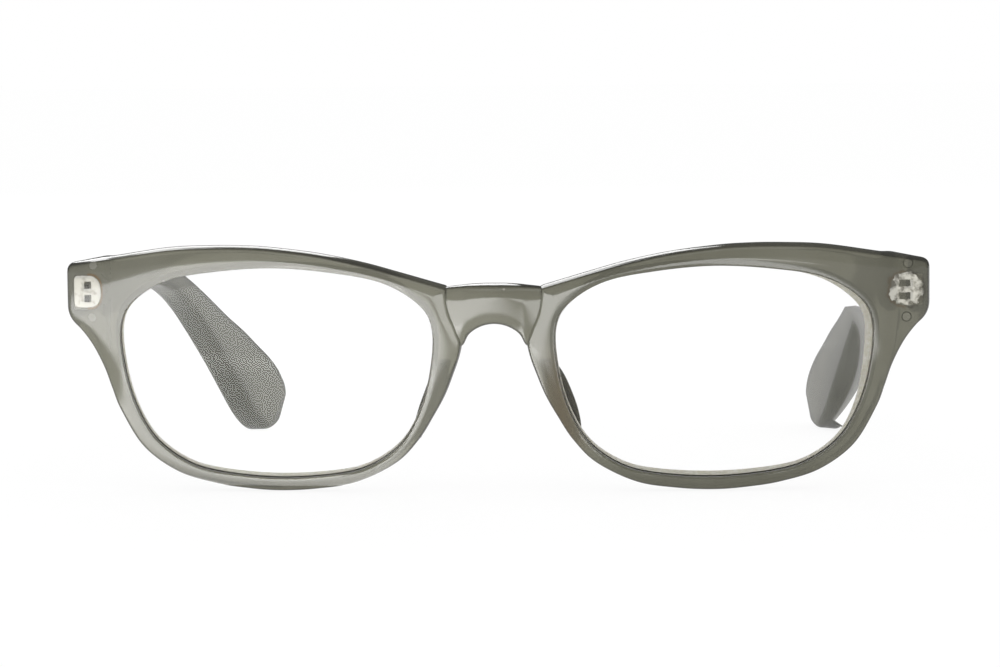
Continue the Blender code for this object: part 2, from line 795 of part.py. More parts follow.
def build_temple(name, side, parts, cutters, pin, finish):
    """A temple, notched for the barrels and cut for the sunk tongue."""
    cuts = bpy.data.collections.new(name + "_cuts")
    cutters.children.link(cuts)
    obj = add_object(name, temple_mesh(side), parts, pin, finish)
    clear = BARREL_RADIUS + TOUCH_GAP
    head_top = STACK_HEIGHT / 2 + BARREL_PLAY + SCREW_HEAD_HEIGHT
    inner_side = -TEMPLE_THICKNESS
    notch = box_mesh(
        (inner_side, -HINGE_STANDOFF - CUT_OVERRUN, -STACK_HEIGHT / 2 - TOUCH_GAP),
        (clear, clear, head_top + TOUCH_GAP),
    )
    add_cutter(name + "_notch", mirrored(notch, side), cuts, pin)
    add_cutter(name + "_slot", mirrored(tongue_mesh(SINK_CLEARANCE), side), cuts, pin)
    add_boolean(obj, "DIFFERENCE", cuts)
    return obj


def build_front(parts, cutters, root, pins, finish):
    """The front: two rims, the bridge and the pads in one moulding, with the pockets of the hinge roots."""
    joined = bpy.data.collections.new("front_joined")
    cuts = bpy.data.collections.new("front_cuts")
    cutters.children.link(joined)
    cutters.children.link(cuts)
    front = add_object("front_frame", rim_mesh(1), parts, root, finish)
    add_cutter("front_rim_left", rim_mesh(-1), joined, root)
    add_cutter("front_bridge", bridge_mesh(), joined, root)
    for side, word in SIDES:
        add_cutter(f"front_pad_{word}", nose_pad_mesh(side), joined, root)
        for number, mesh in enumerate(root_meshes(SINK_CLEARANCE)):
            add_cutter(f"front_pocket_{word}_{number}", mirrored(mesh, side), cuts, pins[side])
        for up in (-1, 1):
            level = "upper" if up > 0 else "lower"
            add_cutter(f"front_ejector_{word}_{level}", ejector_mesh(side, up), cuts, root)
    add_boolean(front, "UNION", joined)
    add_boolean(front, "DIFFERENCE", cuts)
    return front


def stand_on_origin(root, solids):
    """Moves the whole so that the origin is the middle of its footprint."""
    bpy.context.view_layer.update()
    graph = bpy.context.evaluated_depsgraph_get()
    points = []
    for solid in solids:
        evaluated = solid.evaluated_get(graph)
        mesh = evaluated.to_mesh()
        points += [evaluated.matrix_world @ vert.co for vert in mesh.vertices]
        evaluated.to_mesh_clear()
    corners = np.array(points)
    low, high = corners.min(axis=0), corners.max(axis=0)
    root.location = (-(low[0] + high[0]) / 2, -(low[1] + high[1]) / 2, -low[2])
    bpy.context.view_layer.update()


SIDES = ((1, "right"), (-1, "left"))


def main():
    clear_scene()
    parts = collection("reading_glasses")
    cutters = collection("cutters", hidden=True)
    plastic = material("smoky_plastic", (0.30, 0.31, 0.27), 0.12, transmission=0.6)
    lens_plastic = material("clear_lens", (0.95, 0.96, 0.95), 0.02, transmission=1.0)
    steel = material("plated_steel", (0.80, 0.79, 0.77), 0.28, metallic=1.0)
    root = bpy.data.objects.new("glasses", None)
    parts.objects.link(root)
    pins = {}
    for side, word in SIDES:
        pin = bpy.data.objects.new(f"hinge_axis_{word}", None)
        parts.objects.link(pin)
        pin.parent = root
        pin.location = (side * HINGE_PIN.x, HINGE_PIN.y, HINGE_PIN.z)
        pins[side] = pin
    solids = [build_front(parts, cutters, root, pins, plastic)]
    for side, word in SIDES:
        pin = pins[side]
        solids.append(add_object(f"lens_{word}", lens_mesh(side), parts, root, lens_plastic))
        for leaf in ("front", "temple"):
            solids.append(build_leaf(f"hinge_leaf_{leaf}_{word}", leaf, side, parts, cutters, pin, steel))
        solids.append(build_screw(f"hinge_screw_{word}", parts, cutters, pin, steel))
        solids.append(build_temple(f"temple_{word}", side, parts, cutters, pin, plastic))
    stand_on_origin(root, solids)


main()
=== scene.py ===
"""Reading glasses in smoky translucent plastic, standing open on a white sweep.

X runs across the glasses, Y from the front back along the temples, and Z up. Right is +X.
"""

import json
import math

import bmesh
import bpy
import numpy as np
from mathutils import Matrix, Vector


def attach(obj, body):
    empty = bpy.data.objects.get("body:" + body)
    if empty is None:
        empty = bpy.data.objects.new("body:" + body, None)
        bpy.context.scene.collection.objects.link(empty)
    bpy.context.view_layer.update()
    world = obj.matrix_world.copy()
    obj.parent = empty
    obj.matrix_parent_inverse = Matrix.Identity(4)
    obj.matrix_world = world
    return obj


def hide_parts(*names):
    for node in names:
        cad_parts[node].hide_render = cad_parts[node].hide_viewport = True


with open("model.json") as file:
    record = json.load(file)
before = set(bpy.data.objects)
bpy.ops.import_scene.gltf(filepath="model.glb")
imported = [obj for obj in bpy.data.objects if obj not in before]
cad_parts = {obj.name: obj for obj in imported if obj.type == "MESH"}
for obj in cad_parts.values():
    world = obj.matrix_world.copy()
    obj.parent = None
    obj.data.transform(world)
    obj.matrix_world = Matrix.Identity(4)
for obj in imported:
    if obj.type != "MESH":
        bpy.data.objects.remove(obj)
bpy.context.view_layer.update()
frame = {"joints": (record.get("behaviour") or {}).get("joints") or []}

# The front, measured along itself
EYE_WIDTH = 0.0501
EYE_HEIGHT = 0.0339
NOSE_GAP = 0.0189
RIM_WIDTH = 0.0030
RIM_DEPTH = 0.0040
RIM_FRONT_ROUND = 0.0007
RIM_REAR_ROUND = 0.0005
EYE_EDGE_ROUND = 0.00025
FACE_CROWN = 0.00012
WALL_CROWN = 0.00018
FRONT_CURVE_RADIUS = 0.130
FRONT_TILT = math.radians(8)
FACE_FORM = math.radians(5)

# The end pieces, which carry the hinges
END_REACH = 0.00885
END_HEIGHT = 0.0084
END_TOP_SHARE = 0.56
END_TOP_ROUND = 0.0013
END_BOTTOM_ROUND = 0.0018
END_DEPTH = 0.0046
END_REAR_ROUND_MORE = 0.0005
BUTT_RAMP_SHARES = (0.10, 0.36)
EJECTOR_RADIUS = 0.0007
EJECTOR_DEPTH = 0.0003
EJECTOR_RISE_SHARE = 0.43

# The bridge and the nose pads
BRIDGE_HEIGHT = 0.0063
BRIDGE_DEPTH = 0.0046
BRIDGE_RISE = 0.0076
BRIDGE_CORNER_ROUND = 0.0003
BRIDGE_FULLNESS = 3.2
BRIDGE_END_THINNING = 0.2
BRIDGE_SIDES = 64
PAD_REACH = 0.0078
PAD_THICKNESS = 0.0017
PAD_FLARE = math.radians(20)
PAD_EDGE_SHARE = 0.78
PAD_ROOT_SHARE = 0.3
PAD_TAPER_SHARE = 0.25
PAD_BLUNTNESS = 0.8
PAD_SIDES = 32

# The lenses
LENS_GROOVE_DEPTH = 0.0008
LENS_GROOVE_WIDTH = 0.0014
LENS_BEVEL_WIDTH = 0.0010
LENS_SEAT = 0.0020
LENS_FRONT_RADIUS = 0.109
LENS_REAR_RADIUS = 0.196
LENS_THICKNESS = 0.0029
LENS_CLEARANCE = 0.00015
LENS_FRONT_SHARE = 0.45
LENS_RINGS = 16
EDGE_BANDS = 5
LENS_STATIONS = 240

# The ground chamfer behind each lens, by side: its least width, what it has more on the temple side and at
# the bottom, and how narrow those two stretches are
LENS_CHAMFERS = {1: (0.00006, 0.00125, 0.0004), -1: (0.00006, 0.0002, 0.00025)}
LENS_CHAMFER_POWERS = (6, 2)
LENS_CHAMFER_TURN = math.radians(12)
LENS_CHAMFER_DEPTH = 0.0002

# The hinges, measured from the pin
HINGE_RISE = 0.0115
HINGE_REACH_SHARE = 0.615
HINGE_STANDOFF = 0.0015
BARREL_COUNT = 5
BARREL_PLACES = {"front": (-2, 0, 2), "temple": (-1, 1)}
BARREL_RADIUS = 0.0011
BARREL_PITCH = 0.0009
BARREL_PLAY = 0.00008
BARREL_EDGE_ROUND = 0.0001
PIN_RADIUS = 0.0006
PIN_CLEARANCE = 0.00005
PIN_CHAMFER_SHARE = 0.25
BLANK_BORE_SHARE = 0.5
SCREW_HEAD_RADIUS = 0.00095
SCREW_HEAD_HEIGHT = 0.0005
SCREW_HEAD_ROUND_SHARE = 0.4
SCREW_CROWN_SHARES = (0.12, 0.2)
SCREW_SLOT_WIDTH = 0.0003
LEAF_THICKNESS = 0.0013
ROOT_COVER = 0.0014
ROOT_WIDTH = 0.0042
ROOT_HEIGHT = 0.0050
ROOT_PLATE = 0.0007
ROOT_ROUND = 0.0014
ROOT_OUTER_ROUND_SHARE = 0.25
NECK_WIDTH = 0.0026
WINDOW_SIZE = 0.00115
TONGUE_LENGTH = 0.0090
TONGUE_HEIGHT = 0.0038
TONGUE_THICKNESS = 0.0010
TONGUE_INNER_SHARE = 0.65
STEEL_EDGE_ROUND = 0.0001

# The temples, measured from the pin
TEMPLE_REACH = 0.1263
TEMPLE_HEIGHT = 0.0083
TEMPLE_RISE = 0.0005
TEMPLE_THICKNESS = 0.0040
TEMPLE_TIP_THICKNESS = 0.0038
TEMPLE_ROUND = 0.0011
TEMPLE_END_ROUND = 0.0016
TEMPLE_END_LEAST_SHARE = 0.35
TEMPLE_FULL_ROUND_SHARE = 0.9
TEMPLE_BUTT_ROUND = 0.0002
TEMPLE_BOW = 0.0163
TEMPLE_BOW_START_SHARE = 0.36
TEMPLE_SET_IN = 0.0002
BUTT_GAP = 0.0003
TOUCH_GAP = 0.0003
CUT_OVERRUN = 0.001
WELD_DISTANCE = 0.000001

# Half of the eye's edge, from its top to its bottom: shares of half its width and half its height
EYE_EDGE_SHARES = (
    (0.0, 1.0), (0.37, 0.957), (0.69, 0.857), (0.915, 0.646), (0.994, 0.40), (0.977, 0.02),
    (0.91, -0.343), (0.79, -0.654), (0.60, -0.864), (0.38, -0.958), (0.0, -1.0),
)

# Angle round the eye in degrees, with 0 at the temple side and 90 at the top, and share of the rim's width
BROW_SHARES = (
    (34, 2.6), (48, 1.74), (62, 1.35), (76, 1.10), (90, 0.93), (110, 0.82), (128, 0.75),
    (140, 0.78), (153.5, 1.70),
)
LOWER_RIM_SHARES = (
    (153.5, 1.70), (160, 1.19), (166, 1.33), (170.5, 1.50), (175, 1.42), (181, 1.20), (188, 1.00),
    (196, 0.78), (206, 0.66), (218, 0.68), (235, 0.76), (252, 0.78), (270, 0.79), (286, 0.79),
    (300, 0.80), (315, 0.86), (330, 0.94), (345, 0.99), (353, 1.05), (360, 1.21), (366.5, 1.66),
    (370.5, 2.28),
)

# The bridge's stations: distance from the middle, shares of the nose gap's half; top and bottom edge, shares
# of the bridge's height over the arch's crown
BRIDGE_SHARES = (
    (0.0, 1.0, 0.0), (0.16, 1.0, -0.033), (0.31, 0.993, -0.131), (0.43, 0.985, -0.28),
    (0.52, 0.975, -0.524), (0.62, 0.962, -0.58), (0.74, 0.945, -0.524), (0.86, 0.92, -0.328),
)

# The nose pad's stations: height in shares of half the eye's height, reach as a share of the pad's reach
PAD_SHARES = (
    (0.10, 0.12), (0.04, 0.45), (-0.06, 0.74), (-0.18, 0.93), (-0.32, 1.0), (-0.46, 0.95),
    (-0.58, 0.76), (-0.67, 0.45), (-0.72, 0.12),
)

# The temple's side view, one rung after another: upper y and z, then lower y and z. A y is a share of the
# reach; a z over 0 is a share of half the bar's height, and under 0 a share of the drop to the ground
TEMPLE_SHARES = (
    (0.127, 0.85, 0.127, -0.117), (0.233, 0.65, 0.233, -0.119), (0.339, 0.47, 0.328, -0.121),
    (0.423, 0.25, 0.407, -0.13), (0.508, -0.035, 0.478, -0.152), (0.588, -0.138, 0.55, -0.215),
    (0.662, -0.234, 0.619, -0.315), (0.726, -0.328, 0.672, -0.415), (0.787, -0.419, 0.728, -0.535),
    (0.847, -0.504, 0.783, -0.662), (0.897, -0.585, 0.836, -0.795), (0.942, -0.66, 0.88, -0.905),
    (0.974, -0.728, 0.915, -0.972), (0.992, -0.785, 0.942, -1.0), (1.0, -0.838, 0.967, -0.985),
    (1.0, -0.873, 0.986, -0.942),
)

# The hinge roots where they show through the end pieces, painted on the front face, left and right, with a
# painted glint on the steel and painted shade in the windows and along the outline: the outline's middle,
# half its width and height, how square its outer and inner sides are, the windows' place from that middle,
# half their width and height, how ragged the outline is, how dark the windows' painted shade and how brown
# the fringe are, and how bright the glint's darkest and brightest spots
ROOT_MARKS = {
    "Centre X": (-0.06476, 0.06459),
    "Centre Z": (0.03191, 0.0317),
    "Half Width": (0.00225, 0.00267),
    "Half Height": (0.00254, 0.00265),
    "Outward": (-1.0, 1.0),
    "Outer Squareness": (8.0, 2.4),
    "Inner Squareness": (2.6, 2.2),
    "Window Shift": (0.00004, -0.00023),
    "Upper Window": (0.00102, 0.00091),
    "Lower Window": (-0.00111, -0.00111),
    "Window Half Width": (0.00058, 0.0009),
    "Window Half Height": (0.00058, 0.00055),
    "Raggedness": (0.15, 0.7),
    "Window Shade Depth": (0.75, 0.4),
    "Fringe Depth": (0.6, 0.15),
    "Dullest": (0.6, -0.25),
    "Brightest": (1.3, 1.2),
}

# The ejector marks as painted on the front face: x, z, and how much of the disc's painted highlight and of
# its ring's painted shade shows
EJECTOR_MARKS = (
    (-0.06376, 0.03607, 0.45, 0.1),
    (-0.06409, 0.02779, 0.45, 0.1),
    (0.06488, 0.03572, 0.15, 0.6),
    (0.06466, 0.02729, 0.15, 0.8),
)
FRONT_FACE_Y = -0.0608

# Where the marks' soft edges start and end, with 1 at the size given, and how far raggedness moves them
ROOT_EDGE = (0.85, 1.05)
ROOT_OUTLINE_EDGES = ((1.0, 1.1), (1.15, 1.6))
RAGGED_OUTLINE = 2.0
WINDOW_EDGE = (0.92, 1.08)
RAGGED_WINDOWS = 0.5
DISC_EDGE = (0.8, 1.05)
RING_EDGES = ((0.85, 1.0), (1.05, 1.3))

SIDES = ((1, "right"), (-1, "left"))
CORNERS = ((1, 1), (-1, 1), (-1, -1), (1, -1))
ROOT_FRONT = ROOT_COVER - END_DEPTH - HINGE_STANDOFF
LENS_CENTRE = NOSE_GAP / 2 + EYE_WIDTH / 2
END_SIDE = LENS_CENTRE + EYE_WIDTH / 2 + END_REACH
STACK_HEIGHT = BARREL_COUNT * BARREL_PITCH - BARREL_PLAY

# The plastic: its clouded shades, and how it tints and dims the light that goes through
SMOKE = ((0.21, 0.207, 0.16), (0.262, 0.259, 0.208))
SMOKE_THROUGH = (0.24, 0.22, 0.12)
SMOKE_DENSITY = 170
PLASTIC_IOR = 1.49
CLOUD_RANGE = (0.25, 0.75)

# Where across the front the painted light on the left half fades out, and how strong it is; the brownish
# patch's start, middle and end
PAINTED_LIGHT_HALF = (-0.012, 0.006)
PAINTED_LIGHT_SHARE = 0.09
PAINTED_LIGHT_COLOUR = (0.95, 0.94, 0.8)
BROWN_PATCH = (0.006, 0.0105, 0.016)
BROWN_PATCH_RISE = (0.018, 0.026)
BROWN_SHARE = 0.5
SMOKE_BROWN = (0.2, 0.14, 0.07)

# The front's walls, with painted shade: how much darker they are, and how far a face looks forward or back
# where that shade is full and where it is gone
WALL_SHADE_SHARE = 0.75
WALL_SHADE_RANGE = (0.35, 0.85)
WALL_SHADE_COLOUR = (0.02, 0.02, 0.015)

# The colours of the marks that show through, with their painted highlights, glints and shade, how patchy the
# roots' painted glint is, the dust and the other finishes
MARK_HIGHLIGHT = (0.5, 0.49, 0.44)
MARK_SHADE = (0.03, 0.03, 0.02)
ROOT_OUTLINE_SHADE = (0.1, 0.09, 0.07)
ROOT_OUTLINE_SHADE_SHARE = 0.6
ROOT_FRINGE = (0.42, 0.26, 0.12)
ROOT_WINDOW_SHADE = (0.05, 0.05, 0.04)
ROOT_STEEL_GLINT = ((0.14, 0.13, 0.1), (1.0, 0.98, 0.88))
ROOT_GLINT_MOTTLING = (0.3, 0.62)
ROOT_LEAST_BRIGHTNESS = 0.12
DUST_COLOUR = (0.5, 0.48, 0.43)
DUST_SHARE = 0.7
SPECK_SOFT_EDGE = 1.6
LENS_SHADES = ((1.0, 1.0, 1.0), (0.72, 0.72, 0.7))
LENS_COATING = (0.2, 0.21, 0.2)
GROUND_SHADES = ((0.8, 0.77, 0.64), (1.0, 0.99, 0.93))
STEEL_SHADES = ((0.9, 0.89, 0.86), (0.7, 0.68, 0.63))

# The camera, from the lens plane's middle
CAMERA_SENSOR = 36
CAMERA_LENS = 137.803
CAMERA_EYE = Vector((0.0328496, -0.5969437, 0.0515321))
CAMERA_TARGET = Vector((0.0009857, -0.0000397, 0.0064784))
CAMERA_ROLL = math.radians(-0.497)
CAMERA_REACH = 30

# The studio: how much dimmer the floor and the room are in reflections, and the lights that lie on the floor
UPWARD = Vector((0, 0, 1))
FLOOR_DIMMING = 0.5
FLOOR_GLOW = 0.9
PAPER_WHITENESS = 0.96
ROOM_DIMMING = 0.88
PANEL_RISE = 0.001
FLOOR_REACH = 6
FILL_Y = -0.145
FILL_DEPTH = 0.15

# How finely the curved pieces are drawn
CURVE_STEPS = 12
RIM_STATIONS = 600
ROUND_STEPS = 6
LIP_STEPS = 4
ROUND_CLEARANCE = 1.2
FACE_STEPS = 8
TURNED_SIDES = 64
PAD_STEPS = 5
EYE_NORMAL_TURN = math.radians(2)
BARREL_SIDES = 48


def spline(points, steps, closed=False):
    """Points along a smooth curve through the given ones, steps to each interval."""
    known = [Vector(point) for point in points]
    last = len(known) - 1
    if closed:
        padded = [known[-1], *known, known[0], known[1]]
    else:
        padded = [2 * known[0] - known[1], *known, 2 * known[last] - known[last - 1]]
    out = []
    for before, start, end, after in zip(padded, padded[1:], padded[2:], padded[3:]):
        for step in range(steps):
            t = step / steps
            spot = 2 * start + (end - before) * t + (2 * before - 5 * start + 4 * end - after) * t**2
            out.append(0.5 * (spot + (3 * start - before - 3 * end + after) * t**3))
    return out if closed else [*out, known[last]]


def round_corner(incoming, outgoing, radius):
    """Joins two runs that meet in a corner by a round one, and returns the joined run."""
    corner = outgoing[0]
    clear = radius * ROUND_CLEARANCE
    before = [point for point in incoming if (point - corner).length > clear]
    after = [point for point in outgoing if (point - corner).length > clear]
    start = corner + (before[-1] - corner).normalized() * radius
    end = corner + (after[0] - corner).normalized() * radius
    arc = []
    for step in range(ROUND_STEPS + 1):
        t = step / ROUND_STEPS
        arc.append((1 - t) ** 2 * start + 2 * t * (1 - t) * corner + t**2 * end)
    return [*before, *arc, *after]


def quarter(radius, steps=ROUND_STEPS):
    """A rounded edge as (inset, depth) pairs, from the side wall to the face."""
    turns = [math.pi / 2 * step / steps for step in range(steps + 1)]
    return [(radius * (1 - math.cos(turn)), radius * (1 - math.sin(turn))) for turn in turns]


def finished_mesh(shape, name):
    """The mesh of a closed shape, with every face pointing out."""
    bmesh.ops.recalc_face_normals(shape, faces=shape.faces)
    if shape.calc_volume(signed=True) < 0:
        bmesh.ops.reverse_faces(shape, faces=shape.faces)
    mesh = bpy.data.meshes.new(name)
    shape.to_mesh(mesh)
    shape.free()
    return mesh


def loft(rings, name, looped=False):
    """A closed mesh through rings of points; a ring of one point is a pole, and an open end is capped."""
    shape = bmesh.new()
    rows = [[shape.verts.new(point) for point in ring] for ring in rings]
    pairs = list(zip(rows, rows[1:]))
    if looped:
        pairs.append((rows[-1], rows[0]))
    for first, second in pairs:
        count = max(len(first), len(second))
        for side in range(count):
            after = (side + 1) % count
            corners = []
            for row, spot in ((first, side), (first, after), (second, after), (second, side)):
                vert = row[spot % len(row)]
                if vert not in corners:
                    corners.append(vert)
            shape.faces.new(corners)
    if not looped:
        for row in (rows[0], rows[-1]):
            if len(row) > 1:
                shape.faces.new(row)
    return finished_mesh(shape, name)


def rounded_outline(half_width, half_height, radii, inset=0.0, first=0):
    """A rectangle's outline with rounded corners, as (across, up) pairs. The corners are numbered round from
    the upper right one, and the outline starts with the first one asked for."""
    outline = []
    for number in range(first, first + 4):
        side_x, side_z = CORNERS[number % 4]
        radius = radii[number % 4]
        for step in range(ROUND_STEPS + 1):
            turn = math.radians(90 * (number % 4) + 90 * step / ROUND_STEPS)
            across = side_x * (half_width - radius) + (radius - inset) * math.cos(turn)
            outline.append((across, side_z * (half_height - radius) + (radius - inset) * math.sin(turn)))
    return outline


def box(low, high, name, edge_round=0.0):
    """A box between two corners that are measured from the right hinge's pin."""
    shape = bmesh.new()
    bmesh.ops.create_cube(shape, size=1)
    low, high = PIN + Vector(low), PIN + Vector(high)
    for vert in shape.verts:
        vert.co = (low + high) / 2 + vert.co * (high - low)
    if edge_round:
        edges = shape.edges[:]
        bmesh.ops.bevel(shape, geom=edges, offset=edge_round, segments=2, profile=0.5, affect="EDGES")
    return add_object(name, finished_mesh(shape, name))


def flipped(mesh, side):
    """The mesh's shape, turned over to the left side where side is -1."""
    shape = bmesh.new()
    shape.from_mesh(mesh)
    for vert in shape.verts:
        vert.co.x *= side
    return shape


def mirrored(mesh, side):
    """A new mesh in place of the given one: the same shape, or its mirror image where side is -1."""
    shape, name = flipped(mesh, side), mesh.name
    bpy.data.meshes.remove(mesh)
    return finished_mesh(shape, name)


def add_object(name, data):
    obj = bpy.data.objects.new(name, data)
    bpy.context.scene.collection.objects.link(obj)
    return obj


def replace_mesh(obj, mesh):
    """Gives the object another mesh, and removes the one it had."""
    old = obj.data
    obj.data = mesh
    bpy.data.meshes.remove(old)


def mirror_object(obj, side):
    replace_mesh(obj, finished_mesh(flipped(obj.data, side), obj.name))


def combined(obj, operation, others):
    """Joins the others' shapes to the object, or cuts them out of it, and removes the others."""
    bpy.context.view_layer.update()
    for other in others:
        modifier = obj.modifiers.new(operation.title(), "BOOLEAN")
        modifier.operation = operation
        modifier.solver = "EXACT"
        modifier.object = other
    graph = bpy.context.evaluated_depsgraph_get()
    made = bpy.data.meshes.new_from_object(obj.evaluated_get(graph))
    obj.modifiers.clear()
    replace_mesh(obj, made)
    for other in others:
        mesh = other.data
        bpy.data.objects.remove(other)
        bpy.data.meshes.remove(mesh)


def shade(obj, finish, sharp_from=35):
    obj.data.materials.clear()
    obj.data.materials.append(finish)
    obj.data.shade_smooth()
    obj.data.set_sharp_from_angle(angle=math.radians(sharp_from))


def eye_edge():
    half = [(across * EYE_WIDTH / 2, rise * EYE_HEIGHT / 2) for across, rise in EYE_EDGE_SHARES]
    other_half = [(-across, rise) for across, rise in half[-2:0:-1]]
    return spline(half + other_half, CURVE_STEPS, closed=True)


EYE_EDGE = eye_edge()
EYE_ANGLES = np.array([math.atan2(point.y, point.x) for point in EYE_EDGE])[::-1]
EYE_RADII = np.array([point.length for point in EYE_EDGE])[::-1]


def eye_point(angle, outward=0.0):
    radius = float(np.interp(angle, EYE_ANGLES, EYE_RADII, period=2 * math.pi)) + outward
    return Vector((math.cos(angle), math.sin(angle))) * radius


def eye_normal(angle):
    turn = EYE_NORMAL_TURN
    along = eye_point(angle + turn) - eye_point(angle - turn)
    return Vector((along.y, -along.x)).normalized()


def evenly(points, count):
    """The same closed run, with its points spread evenly along it."""
    loop = np.array([tuple(point) for point in [*points, points[0]]])
    gone = np.concatenate([[0], np.cumsum(np.linalg.norm(np.diff(loop, axis=0), axis=1))])
    stops = np.linspace(0, gone[-1], count, endpoint=False)
    return [Vector((np.interp(stop, gone, loop[:, 0]), np.interp(stop, gone, loop[:, 1]))) for stop in stops]


def rim_edge():
    """The rim's outer edge round one eye, from the lens centre, through brow, nose, bottom and end piece."""
    reach = EYE_WIDTH / 2 + END_REACH
    end_top = Vector((reach, HINGE_RISE + END_HEIGHT * END_TOP_SHARE))
    end_bottom = Vector((reach, end_top.y - END_HEIGHT))
    brow = [eye_point(math.radians(angle), share * RIM_WIDTH) for angle, share in BROW_SHARES]
    lower = [eye_point(math.radians(angle), share * RIM_WIDTH) for angle, share in LOWER_RIM_SHARES]
    brow_run = spline([end_top, *brow], CURVE_STEPS)
    lower_run = spline([*lower, end_bottom], CURVE_STEPS)
    joined = round_corner(brow_run, lower_run, BRIDGE_CORNER_ROUND)
    joined = round_corner(joined, [end_bottom, end_top], END_BOTTOM_ROUND)
    corner_first = [joined[-1], *joined[1:-1]]
    return round_corner([end_bottom, end_top], [end_top, *corner_first[1:]], END_TOP_ROUND)[1:]


def edge_normals(points):
    """Outward normals of a loop that runs counterclockwise."""
    normals = []
    for before, after in zip([points[-1], *points[:-1]], [*points[1:], points[0]]):
        along = after - before
        normals.append(Vector((along.y, -along.x)).normalized())
    return normals


def sheet_depth(across, rise):
    """How far the front's curved face lies behind the lens plane, at a place measured along the front."""
    across = abs(across)
    nose_side = NOSE_GAP / 2
    near = max(across, nose_side) - LENS_CENTRE
    depth = math.tan(FACE_FORM) * near + (near**2 + rise**2) / (2 * FRONT_CURVE_RADIUS)
    if across < nose_side:
        slope = math.tan(FACE_FORM) + near / FRONT_CURVE_RADIUS
        depth -= slope * (nose_side**2 - across**2) / (2 * nose_side)
    return depth


def tilted(across, rise, depth):
    """A point of the tilted front, from the lens plane's middle. Depth runs back, square to that plane."""
    back = depth * math.cos(FRONT_TILT) - rise * math.sin(FRONT_TILT)
    up = rise * math.cos(FRONT_TILT) + depth * math.sin(FRONT_TILT)
    return Vector((across, back, up))


HINGE_ACROSS = LENS_CENTRE + EYE_WIDTH / 2 + END_REACH * HINGE_REACH_SHARE
END_FACE = tilted(HINGE_ACROSS, HINGE_RISE, sheet_depth(HINGE_ACROSS, HINGE_RISE))
BUTT_PLANE = END_FACE.y + END_DEPTH
PIN_FROM_LENS_PLANE = Vector(
    (HINGE_ACROSS, BUTT_PLANE + HINGE_STANDOFF, END_FACE.z + END_DEPTH / 2 * math.sin(FRONT_TILT))
)
PIN = Vector(next(joint["pos_m"] for joint in frame["joints"] if joint["name"] == "fold_right"))
LENS_PLANE = PIN - PIN_FROM_LENS_PLANE


def place(across, rise, depth):
    return LENS_PLANE + tilted(across, rise, depth)


def butt_share(across):
    """How far a place across belongs to the part that the temple butts against: 0 to 1."""
    start, end = (LENS_CENTRE + EYE_WIDTH / 2 + END_REACH * share for share in BUTT_RAMP_SHARES)
    ramp = min(max((abs(across) - start) / (end - start), 0), 1)
    return ramp**2 * (3 - 2 * ramp)


def rear_depth(across, rise):
    """How far the front's rear face lies behind the lens plane: it turns flat where the temple butts."""
    plain = sheet_depth(across, rise) + RIM_DEPTH
    butt = (BUTT_PLANE + rise * math.sin(FRONT_TILT)) / math.cos(FRONT_TILT)
    return plain + (butt - plain) * butt_share(across)


def rim_section(outer, outer_normal, inner, inner_normal):
    """One section through the rim, from the outer wall over the front face to the lens groove and back."""
    seat, half_groove = LENS_SEAT, LENS_GROOVE_WIDTH / 2
    lip = quarter(EYE_EDGE_ROUND, LIP_STEPS)[::-1]
    crown_shares = [4 * step / FACE_STEPS * (1 - step / FACE_STEPS) for step in range(1, FACE_STEPS)]
    section = []

    def add(point, depth, from_rear=False):
        across = LENS_CENTRE + point.x
        face = rear_depth(across, point.y) if from_rear else sheet_depth(across, point.y)
        section.append(place(across, point.y, face - depth if from_rear else face + depth))

    for inset, depth in quarter(RIM_FRONT_ROUND):
        add(outer - outer_normal * (WALL_CROWN + inset), depth)
    face_start = outer - outer_normal * (WALL_CROWN + RIM_FRONT_ROUND)
    face_end = inner + inner_normal * EYE_EDGE_ROUND
    for step, crown in enumerate(crown_shares, start=1):
        add(face_start.lerp(face_end, step / FACE_STEPS), -FACE_CROWN * crown)
    for inset, depth in lip:
        add(inner + inner_normal * inset, depth)
    for inset, depth in ((0, seat - half_groove), (LENS_GROOVE_DEPTH, seat), (0, seat + half_groove)):
        add(inner + inner_normal * inset, depth)
    for inset, depth in lip[::-1]:
        add(inner + inner_normal * inset, depth, from_rear=True)
    rear_round = RIM_REAR_ROUND + END_REAR_ROUND_MORE * butt_share(LENS_CENTRE + outer.x)
    back_end = outer - outer_normal * (WALL_CROWN + rear_round)
    for step in range(1, FACE_STEPS):
        add(face_end.lerp(back_end, step / FACE_STEPS), 0, from_rear=True)
    for inset, depth in quarter(rear_round)[::-1]:
        add(outer - outer_normal * (WALL_CROWN + inset), depth, from_rear=True)
    wall_back, wall_front = section[-1], section[0]
    outward = tilted(*outer_normal, 0)
    for step, crown in enumerate(crown_shares, start=1):
        section.append(wall_back.lerp(wall_front, step / FACE_STEPS) + outward * WALL_CROWN * crown)
    return section


def rim_mesh(side):
    edge = evenly(rim_edge(), RIM_STATIONS)
    rings = []
    for outer, outer_normal in zip(edge, edge_normals(edge)):
        angle = math.atan2(outer.y, outer.x)
        rings.append(rim_section(outer, outer_normal, eye_point(angle), eye_normal(angle)))
    return mirrored(loft(rings, "rim", looped=True), side)


def pillow_section(across, bottom, top, front, rear):
    """A section of the bridge: a superellipse in the plane that runs up and back."""
    section = []
    for step in range(BRIDGE_SIDES):
        turn = 2 * math.pi * step / BRIDGE_SIDES
        up, back = math.cos(turn), math.sin(turn)
        up = math.copysign(abs(up) ** (2 / BRIDGE_FULLNESS), up)
        back = math.copysign(abs(back) ** (2 / BRIDGE_FULLNESS), back)
        rise = (top + bottom) / 2 + up * (top - bottom) / 2
        depth = (front + rear) / 2 + back * (rear - front) / 2
        section.append(place(across, rise, depth))
    return section


